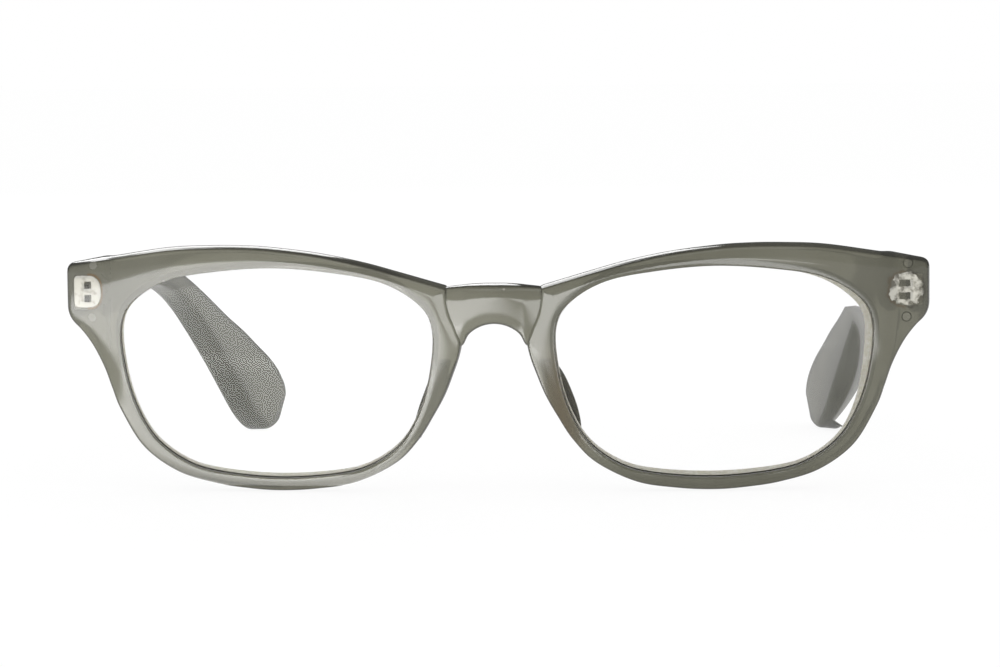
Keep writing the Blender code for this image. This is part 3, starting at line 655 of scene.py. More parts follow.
def bridge_mesh():
    """The saddle bridge, a rounded bar that runs into both rims."""
    right = list(BRIDGE_SHARES)
    left = [(-across, top, bottom) for across, top, bottom in right[:0:-1]]
    rings = []
    for across_share, top_share, bottom_share in spline(left + right, CURVE_STEPS // 2):
        across = across_share * NOSE_GAP / 2
        top = BRIDGE_RISE + top_share * BRIDGE_HEIGHT
        bottom = BRIDGE_RISE + bottom_share * BRIDGE_HEIGHT
        front = sheet_depth(across, (top + bottom) / 2) - FACE_CROWN
        middle = 1 - (across_share / BRIDGE_SHARES[-1][0]) ** 2
        front -= middle * RIM_FRONT_ROUND / 2
        front += (1 - middle) * RIM_FRONT_ROUND
        thinner = BRIDGE_END_THINNING * (1 - middle)
        rear = sheet_depth(across, (top + bottom) / 2) + BRIDGE_DEPTH * (1 - thinner)
        rings.append(pillow_section(across, bottom, top, front, rear))
    return loft(rings, "bridge")


def nose_pad_mesh(side):
    """A fixed pad: a fin that flares back from the rim's nose side."""
    rings = []
    for rise_share, reach_share in spline(PAD_SHARES, PAD_STEPS):
        rise = rise_share * EYE_HEIGHT / 2
        angle = math.pi - math.asin(rise / (EYE_WIDTH / 2))
        inner = eye_point(angle)
        nose_edge = LENS_CENTRE + inner.x - RIM_WIDTH * PAD_EDGE_SHARE
        base_depth = rear_depth(nose_edge, inner.y) - RIM_DEPTH * PAD_ROOT_SHARE
        reach = PAD_REACH * reach_share + RIM_DEPTH * PAD_ROOT_SHARE
        base = Vector((nose_edge, base_depth))
        along = Vector((math.sin(PAD_FLARE), math.cos(PAD_FLARE)))
        across = Vector((along.y, -along.x))
        ring = []
        for step in range(PAD_SIDES):
            turn = 2 * math.pi * step / PAD_SIDES
            out = ((1 - math.cos(turn)) / 2) ** PAD_BLUNTNESS
            width = PAD_THICKNESS / 2 * math.sin(turn) * (1 - PAD_TAPER_SHARE * out)
            spot = base + along * reach * out + across * width
            ring.append(place(spot.x, inner.y, spot.y))
        rings.append(ring)
    return mirrored(loft(rings, "nose_pad"), side)


def ejector_mesh(side, up):
    rise = up * EJECTOR_RISE_SHARE * END_HEIGHT
    shape = bmesh.new()
    sizes = {"radius1": EJECTOR_RADIUS, "radius2": EJECTOR_RADIUS, "depth": 2 * EJECTOR_DEPTH}
    bmesh.ops.create_cone(shape, cap_ends=True, segments=PAD_SIDES, **sizes)
    for vert in shape.verts:
        vert.co = Vector((vert.co.x, vert.co.z, vert.co.y))
        vert.co += PIN + Vector((0, -HINGE_STANDOFF, TEMPLE_RISE + rise))
    return mirrored(finished_mesh(shape, "ejector"), side)


def build_front(finish):
    """The front: two rims, the bridge and the pads in one moulding."""
    front = add_object("front_moulding", rim_mesh(1))
    joined = [add_object("rim_left", rim_mesh(-1)), add_object("bridge", bridge_mesh())]
    cuts = []
    for side, word in SIDES:
        joined.append(add_object(f"pad_{word}", nose_pad_mesh(side)))
        for up in (-1, 1):
            cuts.append(add_object("ejector", ejector_mesh(side, up)))
    combined(front, "UNION", joined)
    combined(front, "DIFFERENCE", cuts)
    shade(front, finish)
    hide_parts("front_frame")
    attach(front, "front")


def lens_mesh(side):
    """A meniscus lens with a V edge, whose outline is the eye's edge."""
    edge = evenly(rim_edge(), LENS_STATIONS)
    angles = [math.atan2(point.y, point.x) for point in edge]
    least, aside_more, below_more = LENS_CHAMFERS[side]
    aside_power, below_power = LENS_CHAMFER_POWERS
    chamfers = []
    for angle in angles:
        aside = max(math.cos(angle - LENS_CHAMFER_TURN), 0) ** aside_power
        below = max(-math.sin(angle), 0) ** below_power
        chamfers.append(least + aside_more * aside + below_more * below)
    front_apex = LENS_SEAT - LENS_THICKNESS * LENS_FRONT_SHARE
    rear_apex = front_apex + LENS_THICKNESS
    trim = -LENS_CLEARANCE
    half_bevel = LENS_BEVEL_WIDTH / 2

    def ring(share, radius, apex, outward=0.0, chamfer_share=0.0):
        points = []
        for angle, chamfer in zip(angles, chamfers):
            flat = eye_point(angle) * share + eye_normal(angle) * (outward - chamfer * chamfer_share)
            sag = radius - math.sqrt(radius**2 - flat.length_squared)
            points.append(place(LENS_CENTRE + flat.x, flat.y, math.tan(FACE_FORM) * flat.x + sag + apex))
        return points

    def bevel_ring(outward, depth):
        points = []
        for angle in angles:
            flat = eye_point(angle) + eye_normal(angle) * outward
            across = LENS_CENTRE + flat.x
            points.append(place(across, flat.y, sheet_depth(across, flat.y) + LENS_SEAT + depth))
        return points

    shares = [step / LENS_RINGS for step in range(1, LENS_RINGS)]
    rings = [[place(LENS_CENTRE, 0, front_apex)]]
    rings += [ring(share, LENS_FRONT_RADIUS, front_apex) for share in shares]
    rings.append(ring(1, LENS_FRONT_RADIUS, front_apex, trim))
    rings.append(bevel_ring(trim, -half_bevel))
    rings.append(bevel_ring(LENS_GROOVE_DEPTH - LENS_CLEARANCE, 0))
    rings.append(bevel_ring(trim, half_bevel))
    rings.append(ring(1, LENS_REAR_RADIUS, rear_apex - LENS_CHAMFER_DEPTH, trim))
    rings.append(ring(1, LENS_REAR_RADIUS, rear_apex, trim, chamfer_share=1))
    rings += [ring(share, LENS_REAR_RADIUS, rear_apex) for share in shares[-2::-1]]
    rings.append([place(LENS_CENTRE, 0, rear_apex)])
    return mirrored(loft(rings, "lens"), side)


def build_lens(side, word, finish, edge_finish):
    """A lens, clear but for its edge, which is ground from the front rim to the chamfer's end."""
    lens = add_object(f"lens_clear_{word}", lens_mesh(side))
    shade(lens, finish, sharp_from=25)
    lens.data.materials.append(edge_finish)
    for face in range(LENS_RINGS * LENS_STATIONS, (LENS_RINGS + EDGE_BANDS) * LENS_STATIONS):
        lens.data.polygons[face].material_index = 1
    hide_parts(f"lens_{word}")
    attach(lens, "front")


def temple_middle(back):
    """Where the temple's middle lies across, from the pin, at a distance behind the pin."""
    share = back / TEMPLE_REACH
    bend = TEMPLE_BOW_START_SHARE * share + (1 - TEMPLE_BOW_START_SHARE) * share**2
    outer_face = END_SIDE - TEMPLE_SET_IN - HINGE_ACROSS
    return outer_face - TEMPLE_THICKNESS / 2 - TEMPLE_BOW * bend


def temple_rungs():
    """Upper and lower edge of the temple's side view, as pairs of (y, z) from the pin."""
    start = BUTT_GAP - HINGE_STANDOFF
    half = TEMPLE_HEIGHT / 2
    drop = PIN.z
    rungs = [((start, TEMPLE_RISE + half), (start, TEMPLE_RISE - half))]
    for upper_y, upper_z, lower_y, lower_z in TEMPLE_SHARES:
        upper_rise = TEMPLE_RISE + upper_z * half if upper_z >= 0 else upper_z * drop
        rungs.append(((upper_y * TEMPLE_REACH, upper_rise), (lower_y * TEMPLE_REACH, lower_z * drop)))
    return rungs


def temple_mesh(side):
    rungs = temple_rungs()
    uppers = spline([upper for upper, lower in rungs], CURVE_STEPS)
    lowers = spline([lower for upper, lower in rungs], CURVE_STEPS)
    middles = [(upper + lower) / 2 for upper, lower in zip(uppers, lowers)]
    gone = [0.0]
    for before, after in zip(middles, middles[1:]):
        gone.append(gone[-1] + (after - before).length)
    rings = []
    for upper, lower, middle, run in zip(uppers, lowers, middles, gone):
        half_height = (upper - lower) / 2
        reach_share = max(middle.x / TEMPLE_REACH, 0)
        half_thickness = (TEMPLE_THICKNESS + (TEMPLE_TIP_THICKNESS - TEMPLE_THICKNESS) * reach_share) / 2
        left = gone[-1] - run
        if left < TEMPLE_END_ROUND:
            bulge = math.sqrt(1 - (1 - left / TEMPLE_END_ROUND) ** 2)
            half_thickness *= TEMPLE_END_LEAST_SHARE + (1 - TEMPLE_END_LEAST_SHARE) * bulge
        inset = max(TEMPLE_BUTT_ROUND - run, 0)
        half_thickness -= inset
        length = half_height.length - inset
        radius = min(TEMPLE_ROUND, TEMPLE_FULL_ROUND_SHARE * min(length, half_thickness))
        up = half_height.normalized()
        ring = []
        for x, along in rounded_outline(half_thickness, length, [radius] * 4):
            spot = middle + up * along
            ring.append(PIN + Vector((temple_middle(spot.x) + x, spot.x, spot.y)))
        rings.append(ring)
    return mirrored(loft(rings, "temple"), side)


def build_temple(side, word, finish):
    """A temple, notched for the barrels."""
    temple = add_object(f"temple_bar_{word}", temple_mesh(side))
    clear = BARREL_RADIUS + TOUCH_GAP
    head_top = STACK_HEIGHT / 2 + BARREL_PLAY + SCREW_HEAD_HEIGHT
    low = (-TEMPLE_THICKNESS, -HINGE_STANDOFF - CUT_OVERRUN, -STACK_HEIGHT / 2 - TOUCH_GAP)
    notch = box(low, (clear, clear, head_top + TOUCH_GAP), "notch")
    mirror_object(notch, side)
    combined(temple, "DIFFERENCE", [notch])
    shade(temple, finish)
    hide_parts(f"temple_{word}")
    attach(temple, f"temple_arm_{word}")


def turned(profile, name):
    """A shape turned about the pin's axis, from pairs of radius and height over the pin's middle."""
    rings = []
    for radius, height in profile:
        turns = [2 * math.pi * step / TURNED_SIDES for step in range(TURNED_SIDES if radius else 1)]
        spots = [(radius * math.cos(turn), radius * math.sin(turn), height) for turn in turns]
        rings.append([PIN + Vector(spot) for spot in spots])
    return add_object(name, loft(rings, name))


def barrel_stack_tree():
    """Geometry nodes: a stack of turned barrels on the hinge's axis, evenly spaced about its middle."""
    tree = bpy.data.node_groups.new("hinge barrels", "GeometryNodeTree")
    tree.interface.new_socket("Barrels", in_out="OUTPUT", socket_type="NodeSocketGeometry")
    for kind, label, value in (
        ("Int", "Count", 3),
        ("Float", "Spacing", 2 * BARREL_PITCH),
        ("Float", "Outer Radius", BARREL_RADIUS),
        ("Float", "Bore Radius", PIN_RADIUS),
        ("Float", "Height", BARREL_PITCH - BARREL_PLAY),
        ("Float", "Edge Round", BARREL_EDGE_ROUND),
        ("Material", "Finish", None),
    ):
        socket = tree.interface.new_socket(label, in_out="INPUT", socket_type=f"NodeSocket{kind}")
        if value is not None:
            socket.default_value = value
    graph = Graph(tree)
    sizes = graph.node("NodeGroupInput").outputs
    outer, bore, height = sizes["Outer Radius"], sizes["Bore Radius"], sizes["Height"]
    middle = graph.product(graph.calc("ADD", outer, bore), 0.5)
    path = graph.node("GeometryNodeCurvePrimitiveCircle", {"Resolution": BARREL_SIDES, "Radius": middle})
    section = {"Width": graph.calc("SUBTRACT", outer, bore), "Height": height}
    section = graph.node("GeometryNodeCurvePrimitiveQuadrilateral", section).outputs["Curve"]
    corners = {"Curve": section, "Radius": sizes["Edge Round"], "Count": 2}
    section = graph.node("GeometryNodeFilletCurve", corners, mode="POLY").outputs["Curve"]
    sweep = {"Curve": path.outputs["Curve"], "Profile Curve": section}
    barrel = graph.node("GeometryNodeCurveToMesh", sweep).outputs["Mesh"]
    lowest = graph.product(graph.calc("SUBTRACT", sizes["Count"], 1.0), sizes["Spacing"], -0.5)
    line = {"Count": sizes["Count"]}
    for label, rise in (("Offset", sizes["Spacing"]), ("Start Location", lowest)):
        line[label] = graph.node("ShaderNodeCombineXYZ", {"Z": rise}).outputs[0]
    line = graph.node("GeometryNodeMeshLine", line).outputs["Mesh"]
    stack = graph.node("GeometryNodeInstanceOnPoints", {"Points": line, "Instance": barrel})
    real = graph.node("GeometryNodeRealizeInstances", {"Geometry": stack.outputs["Instances"]})
    finish = {"Geometry": real.outputs["Geometry"], "Material": sizes["Finish"]}
    finished = graph.node("GeometryNodeSetMaterial", finish)
    graph.node("NodeGroupOutput", {"Barrels": finished.outputs["Geometry"]})
    return tree


def barrel_stack(tree, count, finish):
    """The stack that the tree makes, as a plain mesh on the right hinge's pin, still to be bored to size."""
    stack = add_object("barrels", bpy.data.meshes.new("barrels"))
    modifier = stack.modifiers.new("Barrels", "NODES")
    modifier.node_group = tree
    ids = {item.name: item.identifier for item in tree.interface.items_tree if item.in_out == "INPUT"}
    values = {"Count": count, "Bore Radius": PIN_RADIUS * BLANK_BORE_SHARE, "Finish": finish}
    for label, value in values.items():
        modifier[ids[label]] = value
    bpy.context.view_layer.update()
    made = bpy.data.meshes.new_from_object(stack.evaluated_get(bpy.context.evaluated_depsgraph_get()))
    stack.modifiers.clear()
    replace_mesh(stack, made)
    shape = bmesh.new()
    shape.from_mesh(made)
    bmesh.ops.remove_doubles(shape, verts=shape.verts, dist=WELD_DISTANCE)
    for vert in shape.verts:
        vert.co += PIN
    replace_mesh(stack, finished_mesh(shape, "barrels"))
    return stack


def root_plate():
    """The front leaf's plate, which is sunk in the end piece: more rounded on its inner side."""
    rings = []
    edge = STEEL_EDGE_ROUND
    outer_round = ROOT_ROUND * ROOT_OUTER_ROUND_SHARE
    radii = (outer_round, ROOT_ROUND, ROOT_ROUND, outer_round)
    for inset, depth in ((edge, 0), (0, edge), (0, ROOT_PLATE - edge), (edge, ROOT_PLATE)):
        outline = rounded_outline(ROOT_WIDTH / 2, ROOT_HEIGHT / 2, radii, inset, first=2)
        rings.append([PIN + Vector((x, ROOT_FRONT + depth, z)) for x, z in outline])
    return add_object("root_plate", loft(rings, "root_plate"))


def build_leaf(leaf, side, word, tree, finish):
    """One hinge leaf: its root, its barrels and the webs between them."""
    places = BARREL_PLACES[leaf]
    half_barrel = (BARREL_PITCH - BARREL_PLAY) / 2
    half_stack = STACK_HEIGHT / 2
    clear = BARREL_RADIUS + TOUCH_GAP
    bore_radius, bore_end = PIN_RADIUS + PIN_CLEARANCE, half_stack + CUT_OVERRUN
    bore = [(0, -bore_end), (bore_radius, -bore_end), (bore_radius, bore_end), (0, bore_end)]
    cuts = [turned(bore, "bore")]
    joined = [barrel_stack(tree, len(places), finish)]
    if leaf == "front":
        body = root_plate()
        neck, opening = NECK_WIDTH / 2, WINDOW_SIZE / 2
        low, high = (-neck, ROOT_FRONT + ROOT_PLATE / 2, -half_stack), (neck, -clear, half_stack)
        joined.append(box(low, high, "neck", STEEL_EDGE_ROUND))
        for rise in (-BARREL_PITCH, BARREL_PITCH):
            low = (-opening, ROOT_FRONT - CUT_OVERRUN, rise - opening)
            cuts.append(box(low, (opening, CUT_OVERRUN - clear, rise + opening), "window"))
        web_x, web_y = (-LEAF_THICKNESS / 2, LEAF_THICKNESS / 2), (-clear - ROOT_PLATE, -PIN_RADIUS)
    else:
        inner = -TONGUE_THICKNESS * TONGUE_INNER_SHARE
        outer, half_height = inner + TONGUE_THICKNESS, TONGUE_HEIGHT / 2
        high = (outer, clear + TONGUE_LENGTH, half_height)
        body = box((inner, clear, -half_height), high, "tongue", STEEL_EDGE_ROUND)
        web_x, web_y = (inner, outer), (PIN_RADIUS, clear + TOUCH_GAP)
    for place_up in places:
        rise = place_up * BARREL_PITCH
        low = (web_x[0], web_y[0], rise - half_barrel)
        joined.append(box(low, (web_x[1], web_y[1], rise + half_barrel), "web"))
    combined(body, "UNION", joined)
    combined(body, "DIFFERENCE", cuts)
    body.name = f"steel_leaf_{leaf}_{word}"
    mirror_object(body, side)
    shade(body, finish)
    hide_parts(f"hinge_leaf_{leaf}_{word}")
    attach(body, "front" if leaf == "front" else f"temple_arm_{word}")


def build_screw(side, word, finish):
    """The slotted screw, whose head has a rounded edge."""
    top = STACK_HEIGHT / 2 + BARREL_PLAY
    head = top + SCREW_HEAD_HEIGHT
    edge = SCREW_HEAD_HEIGHT * SCREW_HEAD_ROUND_SHARE
    inner_drop, outer_drop = SCREW_CROWN_SHARES
    profile = [(0, head), (SCREW_HEAD_RADIUS / 2, head - edge * inner_drop)]
    for step in range(ROUND_STEPS + 1):
        turn = math.pi / 2 * step / ROUND_STEPS
        radius = SCREW_HEAD_RADIUS - edge * (1 - math.sin(turn))
        drop = outer_drop + (1 - outer_drop) * (1 - math.cos(turn))
        profile.append((radius, head - edge * drop))
    tip, chamfer = -STACK_HEIGHT / 2, PIN_RADIUS * PIN_CHAMFER_SHARE
    profile += [(SCREW_HEAD_RADIUS, top), (PIN_RADIUS, top), (PIN_RADIUS, tip + chamfer)]
    profile += [(PIN_RADIUS - chamfer, tip), (0, tip)]
    screw = turned(profile, f"slotted_screw_{word}")
    slot_reach, half = 2 * SCREW_HEAD_RADIUS, SCREW_SLOT_WIDTH / 2
    low = (-slot_reach, -half, top + SCREW_HEAD_HEIGHT / 2)
    combined(screw, "DIFFERENCE", [box(low, (slot_reach, half, head + CUT_OVERRUN), "slot")])
    mirror_object(screw, side)
    shade(screw, finish)
    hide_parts(f"hinge_screw_{word}")
    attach(screw, "front")


class Graph:
    """A tree of nodes in the making. What its methods return can be fed to other nodes."""

    def __init__(self, tree):
        self.nodes, self.links = tree.nodes, tree.links

    def fill(self, sockets, values):
        """Gives each named socket a number, colour or finish, or links it to another socket."""
        for label, value in values.items():
            if isinstance(value, bpy.types.NodeSocket):
                self.links.new(value, sockets[label])
            else:
                sockets[label].default_value = (*value, 1) if isinstance(value, tuple) else value

    def node(self, kind, inputs=None, **settings):
        node = self.nodes.new(kind)
        for name, value in settings.items():
            setattr(node, name, value)
        self.fill(node.inputs, inputs or {})
        return node

    def calc(self, operation, first, second=0.0):
        return self.node("ShaderNodeMath", {0: first, 1: second}, operation=operation).outputs[0]

    def product(self, first, *others):
        for other in others:
            first = self.calc("MULTIPLY", first, other)
        return first

    def mixed(self, share, first, second):
        """A colour between two, each of them a colour or a socket."""
        inputs = {"Factor": share, "A": first, "B": second}
        return self.node("ShaderNodeMix", inputs, data_type="RGBA").outputs["Result"]

    def span(self, value, start, end, low=0.0, high=1.0, shape="SMOOTHSTEP"):
        """Turns start to end into low to high, and stops there."""
        inputs = {"Value": value, "From Min": start, "From Max": end, "To Min": low, "To Max": high}
        return self.node("ShaderNodeMapRange", inputs, interpolation_type=shape).outputs["Result"]

    def axes(self, vector):
        return self.node("ShaderNodeSeparateXYZ", {0: vector}).outputs

    def noise(self, coordinates, scale, detail):
        inputs = {"Vector": coordinates, "Scale": scale, "Detail": detail}
        return self.node("ShaderNodeTexNoise", inputs).outputs["Fac"]

    def bump(self, height, strength, distance):
        inputs = {"Strength": strength, "Distance": distance, "Height": height}
        return self.node("ShaderNodeBump", inputs).outputs["Normal"]

    def effect(self, name, coordinates, values):
        """An effect's outputs, from its group, on the coordinates and with the given values."""
        inputs = {"Coordinates": coordinates, **values}
        return self.node("ShaderNodeGroup", inputs, node_tree=bpy.data.node_groups[name]).outputs

    def clouded(self, coordinates, scale, low=0.0, high=1.0):
        return self.effect("clouding", coordinates, {"Scale": scale, "Low": low, "High": high})["Amount"]

    def dusted(self, coordinates, spacing, size, share):
        return self.effect("dust", coordinates, {"Spacing": spacing, "Size": size, "Share": share})["Specks"]


def effect_group(name, inputs, outputs):
    """An empty group of shader nodes, with Coordinates and the named numbers going in."""
    tree = bpy.data.node_groups.new(name, "ShaderNodeTree")
    tree.interface.new_socket("Coordinates", in_out="INPUT", socket_type="NodeSocketVector")
    for label, value in inputs.items():
        tree.interface.new_socket(label, in_out="INPUT", socket_type="NodeSocketFloat").default_value = value
    for label in outputs:
        tree.interface.new_socket(label, in_out="OUTPUT", socket_type="NodeSocketFloat")
    graph = Graph(tree)
    return graph, graph.node("NodeGroupInput").outputs, graph.node("NodeGroupOutput").inputs


def clouding_effect():
    """Uneven clouding: a value from Low to High that drifts over the surface."""
    graph, given, result = effect_group("clouding", {"Scale": 110.0, "Low": 0.0, "High": 1.0}, ["Amount"])
    cloud = graph.noise(given["Coordinates"], given["Scale"], detail=3)
    drift = graph.span(cloud, *CLOUD_RANGE, given["Low"], given["High"], "LINEAR")
    graph.fill(result, {"Amount": drift})


def dust_effect():
    """Specks of dust: Spacing sets how far apart they could be, and Share how many of them are there."""
    graph, given, result = effect_group("dust", {"Spacing": 0.004, "Size": 0.04, "Share": 0.2}, ["Specks"])
    scale = graph.calc("DIVIDE", 1.0, given["Spacing"])
    cells = graph.node("ShaderNodeTexVoronoi", {"Vector": given["Coordinates"], "Scale": scale}).outputs
    dice = graph.node("ShaderNodeSeparateColor", {"Color": cells["Color"]}).outputs["Red"]
    edge = graph.product(given["Size"], SPECK_SOFT_EDGE)
    speck = graph.span(cells["Distance"], given["Size"], edge, 1.0, 0.0)
    kept = graph.calc("LESS_THAN", dice, given["Share"])
    graph.fill(result, {"Specks": graph.product(kept, speck)})


def off_centre(graph, given):
    """How far across and up a place is from a mark's centre, and whether it is on the front face."""
    place_x, place_y, place_z = graph.axes(given["Coordinates"])
    across = graph.calc("SUBTRACT", place_x, given["Centre X"])
    rise = graph.calc("SUBTRACT", place_z, given["Centre Z"])
    return across, rise, graph.calc("LESS_THAN", place_y, FRONT_FACE_Y)


def root_mark_effect():
    """The hinge's root where it shows through the end piece, painted: a rounded plate with two windows, the
    plate as a painted glint, the windows and outline as painted shade.
    """
    labels = {label: left for label, (left, right) in ROOT_MARKS.items()}
    results = ["Plate", "Window", "Outline", "Fringe", "Brightness"]
    graph, given, result = effect_group("hinge root painted glint and shade", labels, results)
    calc, span, product = graph.calc, graph.span, graph.product
    across, rise, on_front = off_centre(graph, given)
    outer = calc("GREATER_THAN", product(across, given["Outward"]), 0.0)
    squarer = calc("SUBTRACT", given["Outer Squareness"], given["Inner Squareness"])
    power = calc("ADD", given["Inner Squareness"], product(outer, squarer))
    across_share = calc("POWER", calc("DIVIDE", calc("ABSOLUTE", across), given["Half Width"]), power)
    rise_share = calc("POWER", calc("DIVIDE", calc("ABSOLUTE", rise), given["Half Height"]), power)
    grain = graph.noise(given["Coordinates"], scale=1100, detail=4)
    ragged = product(calc("SUBTRACT", grain, 0.5), given["Raggedness"])
    reach = calc("ADD", calc("ADD", across_share, rise_share), product(ragged, RAGGED_OUTLINE))
    whole = product(span(reach, *ROOT_EDGE, 1.0, 0.0), on_front)
    plate = whole
    aside = calc("ABSOLUTE", calc("SUBTRACT", across, given["Window Shift"]))
    for label in ("Upper Window", "Lower Window"):
        above = calc("ABSOLUTE", calc("SUBTRACT", rise, given[label]))
        above_share = calc("DIVIDE", above, given["Window Half Height"])
        way = calc("MAXIMUM", calc("DIVIDE", aside, given["Window Half Width"]), above_share)
        plate = product(plate, span(calc("ADD", way, product(ragged, RAGGED_WINDOWS)), *WINDOW_EDGE))
    outline_start, outline_end = ROOT_OUTLINE_EDGES
    outline = product(span(reach, *outline_start), span(reach, *outline_end, 1.0, 0.0), on_front)
    mottled_glint = graph.noise(given["Coordinates"], scale=900, detail=4)
    mottled_glint = span(mottled_glint, *ROOT_GLINT_MOTTLING, given["Dullest"], given["Brightest"], "LINEAR")
    results = {
        "Plate": plate,
        "Window": product(calc("SUBTRACT", whole, plate), given["Window Shade Depth"]),
        "Outline": outline,
        "Fringe": product(outline, calc("SUBTRACT", 1.0, outer), given["Fringe Depth"]),
        "Brightness": calc("MINIMUM", calc("MAXIMUM", mottled_glint, ROOT_LEAST_BRIGHTNESS), 1.0),
    }
    graph.fill(result, results)


def round_mark_effect():
    """A round ejector mark that shows through, painted: its disc as a painted highlight and the ring round it
    as painted shade.
    """
    inputs = {"Centre X": 0.0, "Centre Z": 0.0, "Radius": EJECTOR_RADIUS}
    graph, given, result = effect_group("round mark painted highlight and shade", inputs, ["Disc", "Ring"])
    calc, span, product = graph.calc, graph.span, graph.product
    across, rise, on_front = off_centre(graph, given)
    square = calc("ADD", product(across, across), product(rise, rise))
    way = calc("DIVIDE", calc("POWER", square, 0.5), given["Radius"])
    ring_start, ring_end = RING_EDGES
    ring = product(span(way, *ring_start), span(way, *ring_end, 1.0, 0.0), on_front)
    graph.fill(result, {"Disc": product(span(way, *DISC_EDGE, 1.0, 0.0), on_front), "Ring": ring})


def new_material(name):
    made = bpy.data.materials.new(name)
    made.use_nodes = True
    return made, Graph(made.node_tree)


def node_material(name):
    """A material, its graph, its shader's inputs, and the coordinates that its patterns follow."""
    made, graph = new_material(name)
    coordinates = graph.node("ShaderNodeTexCoord").outputs["Object"]
    return made, graph, graph.nodes["Principled BSDF"].inputs, coordinates


def smoky_plastic(name, with_marks_and_painted_light):
    """Tinted plastic that lets part of the light through and scatters the rest; on the front also with
    painted light, painted shade and painted glints.
    """
    made, graph, shader, coordinates = node_material(name)
    colour = graph.mixed(graph.clouded(coordinates, scale=110.0), *SMOKE)
    if with_marks_and_painted_light:
        # Painted light on the left half, painted shade on the walls, and the marks' painted glints,
        # highlights and shade
        colour = with_painted_light_and_brown_patch(graph, coordinates, colour)
        colour = with_painted_wall_shade(graph, colour)
        colour = with_hinge_marks(graph, coordinates, colour)
    specks = graph.dusted(coordinates, spacing=0.006, size=0.03, share=0.3)
    looks = {
        "Base Color": graph.mixed(graph.product(specks, DUST_SHARE), colour, DUST_COLOUR),
        "Roughness": graph.clouded(coordinates, scale=160.0, low=0.06, high=0.12),
        "Transmission Weight": 0.6,
        "IOR": PLASTIC_IOR,
    }
    graph.fill(shader, looks)
    smoke = graph.node("ShaderNodeVolumeAbsorption", {"Color": SMOKE_THROUGH, "Density": SMOKE_DENSITY})
    graph.fill(graph.nodes["Material Output"].inputs, {"Volume": smoke.outputs["Volume"]})
    return made


def with_painted_light_and_brown_patch(graph, coordinates, colour):
    """The front's colour: painted light makes it paler towards the left, and it turns brownish at the right
    pad.
    """
    across, back, rise = graph.axes(coordinates)
    # Painted light: the left half is mixed towards a paler colour, as if more light fell on it
    colour = graph.mixed(graph.span(across, *PAINTED_LIGHT_HALF, PAINTED_LIGHT_SHARE, 0.0), colour, PAINTED_LIGHT_COLOUR)
    start, middle, end = BROWN_PATCH
    low = graph.span(rise, *BROWN_PATCH_RISE, BROWN_SHARE, 0.0)
    brown = graph.product(graph.span(across, start, middle), graph.span(across, middle, end, 1.0, 0.0), low)
    return graph.mixed(brown, colour, SMOKE_BROWN)


def with_painted_wall_shade(graph, colour):
    """The front's colour, with painted shade: darker on the rounded edges and walls, behind which lies more
    plastic.
    """
    facing = graph.axes(graph.node("ShaderNodeTexCoord").outputs["Normal"])
    backward = graph.calc("ABSOLUTE", facing["Y"])
    # Painted shade: the more a face turns from the front or back, the more it is mixed towards a dark colour
    return graph.mixed(graph.span(backward, *WALL_SHADE_RANGE, WALL_SHADE_SHARE, 0.0), colour, WALL_SHADE_COLOUR)


def with_hinge_marks(graph, coordinates, colour):
    """The plastic's colour, with the hinge roots and the ejector marks that show through it, painted as
    glints, highlights and shade.
    """
    for x, z, disc_share, ring_share in EJECTOR_MARKS:
        mark = graph.effect("round mark painted highlight and shade", coordinates, {"Centre X": x, "Centre Z": z})
        # Painted highlight on the mark's disc, painted shade on its ring
        colour = graph.mixed(graph.product(mark["Disc"], disc_share), colour, MARK_HIGHLIGHT)
        colour = graph.mixed(graph.product(mark["Ring"], ring_share), colour, MARK_SHADE)
    for values in zip(*ROOT_MARKS.values()):
        mark = graph.effect("hinge root painted glint and shade", coordinates, dict(zip(ROOT_MARKS, values)))
        # Painted shade on the root's outline and windows, a painted glint on its steel plate
        colour = graph.mixed(graph.product(mark["Outline"], ROOT_OUTLINE_SHADE_SHARE), colour, ROOT_OUTLINE_SHADE)
        colour = graph.mixed(mark["Fringe"], colour, ROOT_FRINGE)
        colour = graph.mixed(mark["Window"], colour, ROOT_WINDOW_SHADE)
        colour = graph.mixed(mark["Plate"], colour, graph.mixed(mark["Brightness"], *ROOT_STEEL_GLINT))
    return colour


def clear_lens():
    made, graph, shader, coordinates = node_material("clear lens")
    specks = graph.dusted(coordinates, spacing=0.009, size=0.012, share=0.25)
    looks = {
        "Base Color": graph.mixed(specks, *LENS_SHADES),
        "Roughness": graph.clouded(coordinates, scale=60.0, low=0.0, high=0.008),
        "Transmission Weight": 1.0,
        "IOR": PLASTIC_IOR,
        "Specular Tint": LENS_COATING,
    }
    graph.fill(shader, looks)
    return made


def ground_lens_edge():
    """The lens's edge, ground to a matt cream."""
    made, graph, shader, coordinates = node_material("ground lens edge")
    grain = graph.clouded(coordinates, scale=1500.0)
    looks = {
        "Base Color": graph.mixed(grain, *GROUND_SHADES),
        "Roughness": 0.7,
        "Normal": graph.bump(grain, strength=0.3, distance=0.00005),
    }
    graph.fill(shader, looks)
    return made


def plated_steel():
    """Bright plating with fine marks from tumbling, duller in places."""
    made, graph, shader, coordinates = node_material("plated steel")
    rough = graph.clouded(coordinates, scale=2600.0, low=0.22, high=0.5)
    looks = {
        "Base Color": graph.mixed(graph.clouded(coordinates, scale=420.0), *STEEL_SHADES),
        "Metallic": 1.0,
        "Roughness": rough,
        "Normal": graph.bump(rough, strength=0.15, distance=0.00002),
    }
    graph.fill(shader, looks)
    return made


